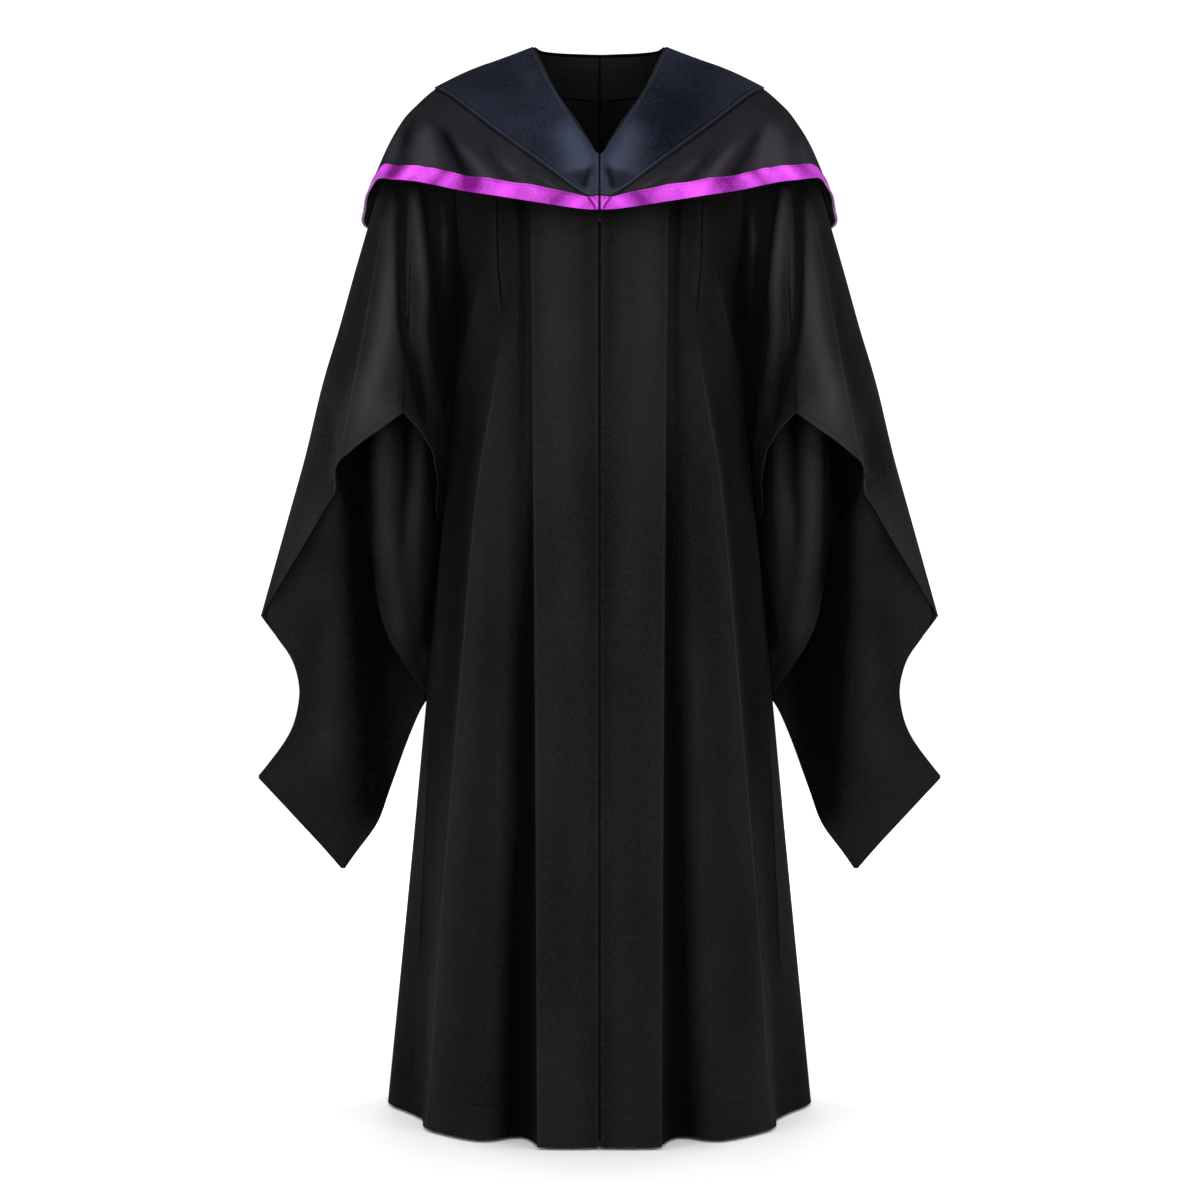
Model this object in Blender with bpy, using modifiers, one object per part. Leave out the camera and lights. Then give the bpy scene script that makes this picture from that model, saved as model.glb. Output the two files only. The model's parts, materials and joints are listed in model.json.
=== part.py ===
"""Graduation gown with a short shoulder hood, kept in the shape it has when worn.

Metres, +Z up. The origin lies midway between the two high points of the shoulders, where
the wearer holds the gown up. -Y is the front and +X the wearer's left. Each piece is
worked out for the left half and turned over for the right half.
"""
import math

import bmesh
import bpy
import numpy as np
from mathutils import Matrix

# ---- driving sizes -----------------------------------------------------------------------
CLOTH = 0.0020            # wall of the gown cloth, hems and seam turnings included
SATIN = 0.0016            # wall of the hood's shell
FACING = 0.0014           # navy collar facing
RIBBON = 0.0010           # satin ribbon
GAP = 0.0003              # between pieces that touch
SEAM = 0.0007             # between two walls that meet edge to edge on a bend
INNER_SEAM = 0.0018       # the same along the sleeve's inner edge, where they meet at an angle

Z_UNDERARM = -0.280
Z_HIP = -0.650
Z_HEM = -1.187

RIBBON_WIDTH = 0.0180
BAND_EDGE = 0.0015        # front bands start this far from the middle, beside the zip
YOKE_DEPTH = 0.0065       # gown's shoulders under the hood, middle of one wall to the other
NECK_DEPTH = 0.0027       # the same at the neck edge, where the hood is tacked to the gown

ZIP_HALF = 0.0012         # half the width of the closed chain between the bands
ZIP_WALL = 0.0012
ZIP_END = 0.994           # how far down the bands the chain ends
HINGE_Z = -0.2035         # height of the pull tab's hinge when the zip is closed
SLIDER_SIZE = (0.0048, 0.0016, 0.0080)
SLIDER_RISE = 0.0010      # slider's middle above the hinge
LUG_SIZE = (0.0007, 0.0024, 0.0022)
LUG_SPACING = 0.0031      # middle of one lug to the middle of the other
LUG_SUNK = 0.0004         # how deep the lugs start inside the slider's plate
TAB_NECK = 0.0018         # width of the tab between the lugs
TAB_WIDTH = 0.0030
TAB_WALL = 0.0009
TAB_SHOULDER = (0.0018, 0.0024)   # below the hinge, where the tab widens
TAB_LENGTH = 0.0074
TAB_BARREL = 0.0006       # radius of the tab's rolled end, on its hinge
BARREL_CLEAR = 0.00035
SLIDER_TAPER = 0.72       # width of the slider's foot, as a share of its head
SLIDER_EDGE = 0.0005      # rounding of the slider's edges, then of the lugs' and the tab's
LUG_EDGE = 0.0002
TAB_EDGE = 0.00025

# ---- the hood: one row for each rib, from the centre front round to the centre back -------
# Each rib runs from the neck edge to the collar's outer edge, then down the cape to its hem.
COLLAR_RIBS = (
    # name             neck                      collar's outer edge
    ("centre front",  (0.0006, -0.130, -0.1340), (0.0006, -0.165, -0.1808)),
    ("lapel foot",    (0.0110, -0.118, -0.1165), (0.0165, -0.166, -0.1805)),
    ("chest",         (0.0250, -0.101, -0.0920), (0.0632, -0.163, -0.1463)),
    ("pocket",        (0.0410, -0.082, -0.0670), (0.1110, -0.141, -0.1085)),
    ("armfront",      (0.0540, -0.058, -0.0410), (0.1417, -0.105, -0.0800)),
    ("front corner",  (0.0650, -0.030, -0.0130), (0.1640, -0.058, -0.0560)),
    ("shoulder",      (0.0725,  0.000,  0.0080), (0.1828,  0.000, -0.0376)),
    ("rear corner",   (0.0650,  0.036,  0.0112), (0.1730,  0.055, -0.0400)),
    ("blade",         (0.0450,  0.062,  0.0142), (0.1370,  0.104, -0.0540)),
    ("back",          (0.0220,  0.073,  0.0155), (0.0720,  0.132, -0.0680)),
    ("centre back",   (0.0002,  0.076,  0.0155), (0.0002,  0.140, -0.0720)),
)
CAPE_RIBS = (
    # name             halfway down              hem
    ("centre front",  (0.0006, -0.172, -0.1905), (0.0006, -0.1785, -0.2005)),
    ("lapel foot",    (0.0200, -0.174, -0.1900), (0.0235, -0.1805, -0.1995)),
    ("chest",         (0.0720, -0.177, -0.1690), (0.0800, -0.1860, -0.1915)),
    ("pocket",        (0.1280, -0.164, -0.1440), (0.1446, -0.1790, -0.1805)),
    ("armfront",      (0.1720, -0.135, -0.1200), (0.1960, -0.1580, -0.1680)),
    ("front corner",  (0.2110, -0.088, -0.1000), (0.2360, -0.1180, -0.1610)),
    ("shoulder",      (0.2330, -0.008, -0.0980), (0.2640, -0.0150, -0.1700)),
    ("rear corner",   (0.2260,  0.068, -0.1000), (0.2680,  0.0850, -0.1800)),
    ("blade",         (0.1790,  0.134, -0.1120), (0.2120,  0.1640, -0.1880)),
    ("back",          (0.0930,  0.165, -0.1250), (0.1120,  0.1950, -0.1930)),
    ("centre back",   (0.0002,  0.174, -0.1290), (0.0002,  0.2020, -0.1950)),
)
COLLAR_EDGE = 1.0         # place along a rib of the collar's outer edge
HOOD_HEM = 3.0            # place along a rib of the hem
RIB_STEP = 0.4            # ribs between neighbouring columns of every piece on the shoulders
SHOULDER_SEAM = 5.6       # rib of the gown's shoulder seam, a little in front of the ridge
ARMHOLE_TOP = 6.4         # rib on which the sleeve's upper fold starts
ARMHOLE_BACK = 7.2        # rib where the yoke's armhole edge ends
YOKE_OUT = 0.87           # place along a rib of the yoke's armhole edge
YOKE_LOW = 0.47           # the same of the yoke's lower edge at the centre back
NECK_IN = 0.03            # the same of the gown's neck edge, just inside the collar's
BAND_TOP = 0.06           # width of the front band's top along the shoulder, as places
TACKED = (0.02, 0.18)     # places between which the gown parts from the hood

# Soft folds of the hood below the collar: the rib each lies on, half width in ribs, height out.
HOOD_FOLDS = (
    ("chest fold",     2.95, 0.45,  0.0040),
    ("armfront dip",   3.80, 0.45, -0.0060),
    ("shoulder fold",  4.60, 0.40,  0.0070),
    ("side dip",       6.40, 0.60, -0.0040),
    ("rear fold",      7.30, 0.50,  0.0080),
    ("back dip",       8.30, 0.50, -0.0080),
    ("back fold",      9.10, 0.45,  0.0080),
)

# ---- the body: one row for each line that the cloth falls along --------------------------
# Places at underarm, hip and hem, and how far the line bows out round the armhole above.
FRONT_FALLS = (
    # name      underarm x y      hip x y            hem x y            bow x   bow y
    ("tuck",   (0.0675, -0.1628), (0.0640, -0.1750), (0.0610, -0.1970), (0.000,  0.000)),
    ("valley", (0.0770, -0.1480), (0.0785, -0.1470), (0.0860, -0.1460), (0.000,  0.000)),
    ("lobe",   (0.0840, -0.1510), (0.1080, -0.1530), (0.1300, -0.1620), (0.000,  0.000)),
    ("ridge",  (0.0910, -0.1500), (0.1430, -0.1370), (0.1850, -0.1020), (0.000, -0.004)),
    ("turn",   (0.1270, -0.1150), (0.1660, -0.0850), (0.1940, -0.0520), (-0.010, -0.018)),
    ("seam",   (0.1545,  0.0050), (0.1815, -0.0350), (0.2090, -0.0150), (0.000, -0.075)),
)
BACK_FALLS = (
    ("seam",        (0.1546,  0.0057), (0.1816, -0.0343), (0.2092, -0.0143), (0.000, 0.075)),
    ("side",        (0.1555,  0.0400), (0.1880,  0.0250), (0.2410,  0.0520), (-0.006, 0.050)),
    ("rear side",   (0.1410,  0.0880), (0.1760,  0.0980), (0.2260,  0.1180), (-0.004, 0.022)),
    ("corner",      (0.1130,  0.1200), (0.1430,  0.1450), (0.1850,  0.1680), (0.000, 0.004)),
    ("valley out",  (0.0900,  0.1330), (0.1140,  0.1570), (0.1480,  0.1790), (0.000, 0.000)),
    ("flute out",   (0.0680,  0.1430), (0.0860,  0.1750), (0.1100,  0.2050), (0.000, 0.000)),
    ("valley in",   (0.0450,  0.1460), (0.0570,  0.1670), (0.0720,  0.1880), (0.000, 0.000)),
    ("flute in",    (0.0230,  0.1500), (0.0290,  0.1790), (0.0370,  0.2070), (0.000, 0.000)),
    ("centre back", (0.0002,  0.1500), (0.0002,  0.1740), (0.0002,  0.1950), (0.000, 0.000)),
)
BAND_FALLS = (
    ("zip edge",  (BAND_EDGE, -0.1680), (BAND_EDGE, -0.1780), (BAND_EDGE, -0.2000)),
    ("band edge", (0.0718, -0.1680), (0.0682, -0.1780), (0.0648, -0.2000)),
)
BAND_CROWN = 0.0015       # how far the middle of a front band stands out before its edges
SEAM_TOP = (0.1640, 0.0180, -0.0420)   # where the side seam would reach the shoulder
CHEST_PUSH = (0.60, 0.40)   # share of the way to the underarm that the chest is out, and down

# ---- the sleeve: one row for each section, outer fold to inner edge ----------------------
SLEEVE_SECTIONS = (
    # outer x  outer z   inner x  inner y  inner z   front  back   lift of the middle
    (0.2050, -0.0680, 0.1615, 0.0150, -0.2850, 0.080, 0.080, 0.000),
    (0.2320, -0.1150, 0.1620, 0.0300, -0.2930, 0.088, 0.082, 0.000),
    (0.2580, -0.1945, 0.1630, 0.0500, -0.3150, 0.098, 0.078, 0.000),
    (0.2875, -0.3000, 0.1670, 0.0640, -0.3650, 0.105, 0.072, 0.004),
    (0.3112, -0.3850, 0.1710, 0.0710, -0.4150, 0.107, 0.068, 0.022),
)
# Hem of the sleeve's front over the opening for the arm, outer tip to inner edge.
OPENING_HEM = (
    # name            place   x        y        z
    ("tip",           0.000, (0.3800, -0.0012, -0.6310)),
    ("flare",         0.240, (0.2990, -0.0450, -0.5040)),
    ("turn",          0.280, (0.2893, -0.0620, -0.4920)),
    ("step",          0.320, (0.2876, -0.0780, -0.4739)),
    ("corner",        0.360, (0.2824, -0.0860, -0.4600)),
    ("outer rise",    0.440, (0.2620, -0.0950, -0.4430)),
    ("peak",          0.600, (0.2135, -0.1020, -0.4087)),
    ("inner rise",    0.680, (0.1953, -0.0980, -0.4280)),
    ("inner fall",    0.760, (0.1830, -0.0820, -0.4501)),
    ("inner corner",  0.840, (0.1790, -0.0600, -0.4790)),
    ("inner drop",    0.920, (0.1825, -0.0200, -0.5140)),
    ("inner edge",    1.000, (0.1785,  0.0708, -0.5400)),
)
# Outline of the long hanging end, from the level of the upper tip down.
TAIL_SECTIONS = (
    # z        outer x  inner x  inner y  depth of the back
    (-0.4750, 0.3364, 0.1745, 0.0720, 0.064),
    (-0.5500, 0.3574, 0.1800, 0.0715, 0.056),
    (-0.6310, 0.3800, 0.1865, 0.0700, 0.046),
    (-0.6530, 0.3635, 0.1885, 0.0680, 0.043),
    (-0.6750, 0.3480, 0.1905, 0.0640, 0.040),
    (-0.6945, 0.3402, 0.1920, 0.0600, 0.038),
    (-0.7140, 0.3370, 0.1945, 0.0550, 0.036),
    (-0.7350, 0.3390, 0.2035, 0.0480, 0.033),
    (-0.7590, 0.3462, 0.2140, 0.0400, 0.030),
    (-0.7850, 0.3625, 0.2236, 0.0300, 0.026),
    (-0.8120, 0.3840, 0.2327, 0.0200, 0.021),
    (-0.8370, 0.3605, 0.2411, 0.0120, 0.016),
    (-0.8664, 0.3332, 0.2524, 0.0060, 0.011),
    (-0.8920, 0.3095, 0.2709, 0.0030, 0.006),
    (-0.9140, 0.2905, 0.2865, 0.0010, 0.001),
)
UPPER_TIP_Z = -0.631
FLATTENED = (0.04, 0.06)  # the tube flattens from this far above the upper tip, over this height
FALL_INSIDE = (0.0044, 0.0085)   # inner fall above the opening, in and forward of the inner edge
FALL_MERGES = (-0.535, -0.565)   # heights between which it comes out to the inner edge
FALL_ROLL = 0.028         # how far its free edge rolls back at the top
FALL_CREASE = (0.36, 0.10, 0.012)   # fold in it: place across, half width, depth
FALL_EDGE = (
    # z        x of the inner fall's free edge, how far it stands forward
    (-0.3850, 0.2450, 0.088),
    (-0.4400, 0.2521, 0.091),
    (-0.5000, 0.2526, 0.091),
    (-0.5450, 0.2521, 0.089),
    (-0.5887, 0.2483, 0.085),
    (-0.6141, 0.2452, 0.080),
    (-0.6419, 0.2392, 0.072),
    (-0.6687, 0.2277, 0.062),
    (-0.6946, 0.2129, 0.050),
    (-0.7180, 0.2015, 0.038),
)
# Front of the hanging end: its outer edge behind the opening's hem, then down the cut.
TAIL_FRONT = (
    # z        inner x  place along the opening's hem, y in the middle, y at the inner edge
    (-0.4970, 0.2885, 0.262, -0.042, -0.038),
    (-0.5250, 0.2720, 0.200, -0.038, -0.020),
    (-0.5540, 0.2533, 0.145, -0.032,  0.000),
    (-0.5900, 0.2325, 0.077, -0.027,  0.020),
    (-0.6120, 0.2210, 0.037, -0.022,  0.030),
)
TAIL_BEHIND_HEM = 0.0058
TAIL_TUCK = 0.965         # place down the sleeve's front that its outer edge lies behind
TAIL_DEPTH_SHARE = 0.55   # its depth in front, as a share of the back's behind
TAIL_TIP_SHORT = 0.0065   # hanging end's front stops short of the upper tip, inside the seam
LOOSE_IN = (0.0290, 0.0340)   # inner edge's distance in from the seam and forward of it, at the top
LOOSE_LEVELS = (-0.750, -0.612)   # joined to the seam here, and this loose there


# ---- curves ------------------------------------------------------------------------------
def spline(knots, rows, place):
    """Point at a place on the smooth curve through the rows, each at its own knot."""
    rows = np.asarray(rows, dtype=float)
    last = len(rows) - 1
    place = min(max(place, knots[0]), knots[-1])
    i = 0
    while i < last - 1 and place > knots[i + 1]:
        i += 1
    step = knots[i + 1] - knots[i]
    chord = (rows[i + 1] - rows[i]) / step
    before = chord
    if i > 0:
        back = knots[i] - knots[i - 1]
        before = (chord * back + (rows[i] - rows[i - 1]) / back * step) / (step + back)
    after = chord
    if i + 1 < last:
        ahead = knots[i + 2] - knots[i + 1]
        after = (chord * ahead + (rows[i + 2] - rows[i + 1]) / ahead * step) / (step + ahead)
    f = (place - knots[i]) / step
    return (
        rows[i] * (1 + 2 * f) * (1 - f) ** 2
        + rows[i + 1] * f * f * (3 - 2 * f)
        + (before * f * (1 - f) ** 2 - after * f * f * (1 - f)) * step
    )


def polyline(knots, rows, place):
    """Point at a place on the straight stretches through the rows."""
    rows = np.asarray(rows, dtype=float)
    return np.array([np.interp(place, knots, rows[:, k]) for k in range(rows.shape[1])])


def ease(f):
    """0 to 1 with a level start and end."""
    f = min(max(f, 0.0), 1.0)
    return f * f * (3 - 2 * f)


def mix(first, second, f):
    return np.asarray(first, dtype=float) * (1 - f) + np.asarray(second, dtype=float) * f


# ---- hood surface ------------------------------------------------------------------------
RIB_TABLE = np.array([top[1:] + low[1:] for top, low in zip(COLLAR_RIBS, CAPE_RIBS)])
OPPOSITE = np.array([-1.0, 1.0, 1.0])
RIB_ROUND = np.concatenate([RIB_TABLE[1:2] * OPPOSITE, RIB_TABLE, RIB_TABLE[-2:-1] * OPPOSITE])
RIB_KNOTS = list(range(-1, len(COLLAR_RIBS) + 1))
LAST_RIB = float(len(COLLAR_RIBS) - 1)
PLACE_KNOTS = [0.0, 1.0, 2.0, 3.0]


def hood_point(rib, place):
    controls = [spline(RIB_KNOTS, RIB_ROUND[:, k], rib) for k in range(4)]
    point = spline(PLACE_KNOTS, controls, place)
    if place > COLLAR_EDGE:
        lift = sum(
            height * math.exp(-(((rib - middle) / half) ** 2))
            for _, middle, half, height in HOOD_FOLDS
        )
        spread = ease((place - COLLAR_EDGE) / (HOOD_HEM - COLLAR_EDGE))
        away = np.array([point[0], point[1], 0.0])
        point = point + away / np.linalg.norm(away) * lift * spread
    return point


def hood(rib, place, out=0.0):
    """Point on the hood's middle surface, or this far out from it."""
    point = hood_point(rib, place)
    if not out:
        return point
    step = 0.02
    low, high = max(rib - step, 0.0), min(rib + step, LAST_RIB)
    near, far = max(place - step, 0.0), min(place + step, HOOD_HEM)
    across = hood_point(high, place) - hood_point(low, place)
    down = hood_point(rib, far) - hood_point(rib, near)
    normal = np.cross(down, across)
    if rib < step or rib > LAST_RIB - step:
        normal[0] = 0.0
    return point + normal / np.linalg.norm(normal) * out


def ribbon_top(rib):
    """Place along a rib that lies one ribbon's width above the hem, at most at the collar."""
    stride = 0.01
    place = HOOD_HEM
    left = RIBBON_WIDTH
    here = hood_point(rib, place)
    while left > 0 and place > COLLAR_EDGE + 2 * stride:
        place -= stride
        there = hood_point(rib, place)
        left -= np.linalg.norm(there - here)
        here = there
    return place


# ---- body surfaces -----------------------------------------------------------------------
DOWN_KNOTS = [0.0, 0.10, 0.24, 0.545, 1.0]     # top, chest, underarm, hip, hem
UNDERARM = DOWN_KNOTS[2]
ARMHOLE_STEPS = 5
SKIRT_STEPS = 9
BODY_ROWS = [UNDERARM * k / ARMHOLE_STEPS for k in range(ARMHOLE_STEPS)]
BODY_ROWS += [UNDERARM + (1 - UNDERARM) * k / SKIRT_STEPS for k in range(SKIRT_STEPS + 1)]


def fall_line(top, places, down):
    """Point down one line from its top to the hem, through chest, underarm and hip."""
    top = np.asarray(top, dtype=float)
    underarm = np.array([*places[0], Z_UNDERARM])
    out, drop = CHEST_PUSH
    chest = top + (underarm - top) * np.array([out, out, drop])
    hip = np.array([*places[1], Z_HIP])
    hem = np.array([*places[2], Z_HEM])
    return spline(DOWN_KNOTS, [top, chest, underarm, hip, hem], down)


def bowed_line(top, row, down):
    """The same, bowed out round the armhole; a seam's line is one line below the underarm."""
    name, places, bow = row[0], row[1:4], np.array([*row[4], 0.0])
    above = min(down / UNDERARM, 1.0)
    if name != "seam":
        return fall_line(top, places, down) + bow * math.sin(math.pi * above)
    shift = (np.asarray(top) - np.array(SEAM_TOP)) * (1 - ease(above))
    return fall_line(SEAM_TOP, places, down) + shift + bow * math.sin(math.pi * above) ** 0.8


def body(tops, falls, across, down, closing):
    """Point of a body panel: across counts fall lines, down is 0 at the top and 1 at the hem."""
    points = [bowed_line(top, row, down) for top, row in zip(tops, falls)]
    knots = list(range(len(points)))
    if closing:
        points.append(points[-2] * OPPOSITE)
        knots.append(len(knots))
    return spline(knots, points, across)


def yoke_edge(rib):
    """Place along a rib of the yoke's outer edge: the armhole, then the back seam."""
    return YOKE_OUT - (YOKE_OUT - YOKE_LOW) * ease((rib - ARMHOLE_BACK) / (LAST_RIB - ARMHOLE_BACK))


def yoke(rib, place, deeper=0.0):
    depth = mix(NECK_DEPTH, YOKE_DEPTH, ease((place - TACKED[0]) / (TACKED[1] - TACKED[0])))
    return hood(rib, place, -float(depth) - deeper)


PANEL_START = (0.135, 0.20, 0.27, 0.36, 0.62, YOKE_OUT)      # front lines on the shoulder seam
PANEL_DEEPER = (0.004, 0.003, 0.001, 0.0, 0.0, 0.0)
BELOW_YOKE = 0.008
BESIDE_SEAM = 0.016
FRONT_TOPS = [
    yoke(SHOULDER_SEAM - BESIDE_SEAM, place, deeper)
    for place, deeper in zip(PANEL_START, PANEL_DEEPER)
]
BACK_TOPS = [
    yoke(rib, yoke_edge(rib) + BELOW_YOKE)
    for rib in np.linspace(ARMHOLE_BACK, LAST_RIB, len(BACK_FALLS))
]
BACK_TOPS[-1][0] = 0.0002


def front_panel(u, v):
    return body(FRONT_TOPS, FRONT_FALLS, u * (len(FRONT_FALLS) - 1), v, False)


def back_panel(u, v):
    return body(BACK_TOPS, BACK_FALLS, u * (len(BACK_FALLS) - 1), v, True)


def band(u, v):
    """Front band, hardly crowned, its top following the V of the neck."""
    top = yoke((SHOULDER_SEAM - BESIDE_SEAM * 2) * u, NECK_IN + BAND_TOP * u)
    if u == 0:
        top[0] = BAND_EDGE
    zip_edge, outer_edge = BAND_FALLS
    crown = np.array([0.0, BAND_CROWN * math.sin(math.pi * u)])
    line = [mix(near, far, u) - crown for near, far in zip(zip_edge[1:], outer_edge[1:])]
    return fall_line(top, line, v)


def armhole_corners(front):
    """Corners of the sleeve's seam line, from the shoulder round one side to the underarm."""
    seam_rib = SHOULDER_SEAM if front else ARMHOLE_BACK
    middle = (ARMHOLE_TOP + seam_rib) / 2
    corners = [yoke(rib, YOKE_OUT) for rib in (ARMHOLE_TOP, middle, seam_rib)]
    for down in BODY_ROWS[1:ARMHOLE_STEPS + 1]:
        if front:
            corners.append(body(FRONT_TOPS, FRONT_FALLS, len(FRONT_FALLS) - 1.0, down, False))
        else:
            corners.append(body(BACK_TOPS, BACK_FALLS, 0.0, down, True))
    return corners


# ---- sleeve surfaces ---------------------------------------------------------------------
SLEEVE_STAND = 0.0024     # sleeve's seam edge outside the body's
SECTION_KNOTS = [0.0, 0.12, 0.24, 0.42, 0.66, 0.86, 1.0]
CORNERS = {front: armhole_corners(front) for front in (True, False)}
CORNER_KNOTS = [0.0, 0.07, 0.14] + [0.14 + 0.86 * k / ARMHOLE_STEPS for k in range(1, ARMHOLE_STEPS + 1)]


def half_seam(f):
    """Half the gap between the sleeve's front and back, from its outer fold to its inner edge."""
    return (SEAM + (INNER_SEAM - SEAM) * f ** 4) / 2


def swell(turn):
    """Roundness of a section, 0 at its outer fold and inner edge."""
    return max(math.sin(turn), 0.0) ** 0.85 if 0.001 < turn < math.pi - 0.001 else 0.0


def armhole_row(front, u):
    away = -half_seam(u) if front else half_seam(u)
    return polyline(CORNER_KNOTS, CORNERS[front], u) + np.array([SLEEVE_STAND, away, 0.0])


def round_section(row, u, front):
    """Point of one section of the sleeve's tube, from the outer fold to the inner edge."""
    outer_x, outer_z, inner_x, inner_y, inner_z, deep_front, deep_back, lift = row
    turn = math.pi * u
    f = (1 - math.cos(turn)) / 2
    depth = -deep_front * swell(turn) - half_seam(f) if front else deep_back * swell(turn) + half_seam(f)
    y = inner_y * f ** 4 + depth
    z = outer_z + (inner_z - outer_z) * f + lift * math.sin(turn)
    return np.array([outer_x + (inner_x - outer_x) * f, y, z])


def sleeve_front(u, v):
    """Upper front of the sleeve, down to the hem of the opening."""
    rows = [armhole_row(True, u)]
    rows += [round_section(row, u, True) for row in SLEEVE_SECTIONS]
    rows.append(polyline([row[1] for row in OPENING_HEM], [row[2] for row in OPENING_HEM], u))
    return spline(SECTION_KNOTS, rows, v)


def tail_row(z):
    return polyline([-row[0] for row in TAIL_SECTIONS], [row[1:] for row in TAIL_SECTIONS], -z)


def tail_back(u, z):
    """Back of the sleeve below the elbow, level sections."""
    outer_x, inner_x, inner_y, depth = tail_row(z)
    flat = ease((UPPER_TIP_Z + FLATTENED[0] - z) / FLATTENED[1])
    turn = math.pi * u
    f = float(mix((1 - math.cos(turn)) / 2, u, flat))
    bulge = float(mix(swell(turn), math.sin(turn) ** 2, flat))
    rest = float(mix(half_seam(f), CLOTH / 2 + GAP / 2, flat))
    lean = float(mix(f ** 4, u, flat))
    return np.array([outer_x + (inner_x - outer_x) * f, rest + inner_y * lean + depth * bulge, z])


TUBE_SHARE = 0.46         # share of the sleeve back's rows above the hanging end


def sleeve_back(u, v):
    """Whole back of the sleeve, from the armhole to the two tips and the cut between them."""
    if v <= TUBE_SHARE:
        rows = [armhole_row(False, u)]
        rows += [round_section(row, u, False) for row in SLEEVE_SECTIONS]
        rows.append(tail_back(u, TAIL_SECTIONS[0][0]))
        return spline(SECTION_KNOTS, rows, v / TUBE_SHARE)
    levels = [row[0] for row in TAIL_SECTIONS]
    place = (v - TUBE_SHARE) / (1 - TUBE_SHARE)
    return tail_back(u, float(np.interp(place, np.linspace(0, 1, len(levels)), levels)))


def outer_edge(z):
    """How far out the sleeve's outer fold or cut is at this height."""
    rows = [(row[1], row[0]) for row in SLEEVE_SECTIONS] + [row[:2] for row in TAIL_SECTIONS]
    return float(polyline([-row[0] for row in rows], [row[1:] for row in rows], -z)[0])


def inner_edge(z):
    """Where the sleeve's inner edge is at this height."""
    rows = [(row[4], row[2], row[3]) for row in SLEEVE_SECTIONS]
    rows += [(row[0], row[2], row[3]) for row in TAIL_SECTIONS]
    return polyline([-row[0] for row in rows], [row[1:] for row in rows], -z)


def inner_fall(u, v):
    """Inner front of the sleeve below the arm, with its curved free edge."""
    place = v * (len(FALL_EDGE) - 1)
    z, free_x, stand = polyline(list(range(len(FALL_EDGE))), FALL_EDGE, place)
    begin, end = FALL_MERGES
    inside = 1 - ease((begin - z) / (begin - end))
    inner_x, inner_y = inner_edge(z)
    inner_x += FALL_INSIDE[0] * inside
    inner_y -= FALL_INSIDE[1] * inside
    outer_x = outer_edge(z)
    start = (outer_x - free_x) / (outer_x - inner_x)
    turn = math.acos(1 - 2 * start) * (1 - u) + math.pi * u
    f = (1 - math.cos(turn)) / 2
    roll = FALL_ROLL * (1 - u) ** 4 * (1 - 0.7 * v)
    middle, half, deep = FALL_CREASE
    crease = deep * math.exp(-(((u - middle) / half) ** 2)) * math.sqrt(1 - v)
    y = inner_y * f ** 4 - stand * swell(turn) + roll + crease - half_seam(f)
    return np.array([outer_x + (inner_x - outer_x) * f, y, z])


def tail_front(u, v):
    """Front of the long hanging end, from its apex in the opening down to the tips."""
    lower = [row for row in TAIL_SECTIONS if row[0] <= UPPER_TIP_Z]
    count = len(TAIL_FRONT) + len(lower) - 1
    i = min(int(v * count + 1e-6), count - 1)

    def ends(k):
        if k < len(TAIL_FRONT):
            z, inner_x, hem_place, y_mid, y_in = TAIL_FRONT[k]
            outer = sleeve_front(hem_place, TAIL_TUCK) + np.array([0.0, TAIL_BEHIND_HEM, 0.0])
            return np.array([*outer, inner_x, y_in, z, y_mid])
        z, outer_x, inner_x, inner_y, depth = lower[k - len(TAIL_FRONT)]
        if z == UPPER_TIP_Z:
            outer_x -= TAIL_TIP_SHORT
        low, high = LOOSE_LEVELS
        loose = ease((z - low) / (high - low))
        rest = -CLOTH / 2 - GAP / 2
        y_in = rest + inner_y - LOOSE_IN[1] * loose
        y_mid = (rest + y_in) / 2 - depth * TAIL_DEPTH_SHARE
        return np.array([outer_x, rest, z, inner_x + LOOSE_IN[0] * loose, y_in, z, y_mid])

    outer_x, outer_y, outer_z, inner_x, inner_y, inner_z, y_mid = mix(ends(i), ends(i + 1), v * count - i)
    y = outer_y + (inner_y - outer_y) * u + (y_mid - (outer_y + inner_y) / 2) * math.sin(math.pi * u) ** 2
    return np.array([outer_x + (inner_x - outer_x) * u, y, outer_z + (inner_z - outer_z) * u])


# ---- zip ---------------------------------------------------------------------------------
def zip_line(v):
    """Middle line of the zip, level with the bands' inner edges."""
    return band(0.0, v) * np.array([0.0, 1.0, 1.0])


def hinge_place():
    """Middle of the tab's hinge and the lean of the bands there, turned about the X axis."""
    low, high = 0.02, UNDERARM
    while high - low > 1e-6:
        middle = (low + high) / 2
        if zip_line(middle)[2] > HINGE_Z:
            low = middle
        else:
            high = middle
    here = zip_line(low)
    along = zip_line(low - 0.02) - zip_line(low + 0.02)
    lean = math.atan2(-along[1], along[2])
    away = CLOTH / 2 + GAP + SLIDER_SIZE[1] + BARREL_CLEAR + TAB_BARREL
    return here + np.array([0.0, -math.cos(lean), -math.sin(lean)]) * away, lean


# ---- stations of the sheets --------------------------------------------------------------
BACK_STATIONS = [k / 24 for k in range(24)] + [0.99, 1.0]     # close together at the centre seam
TUBE_ROWS = [0.0, 0.06, 0.12, 0.24, 0.33, 0.42, 0.54, 0.66, 0.76, 0.86, 0.93, 1.0]
HEM_STATIONS = [0.0, 0.05, 0.11, 0.17, *(0.24 + 0.04 * k for k in range(6)), 0.52]
HEM_STATIONS += [0.60 + 0.04 * k for k in range(11)]


# ---- making the pieces -------------------------------------------------------------------
def start():
    for old in list(bpy.data.objects):
        bpy.data.objects.remove(old, do_unlink=True)
    group = bpy.data.collections.new("graduation_gown")
    bpy.context.scene.collection.children.link(group)
    return group


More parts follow.
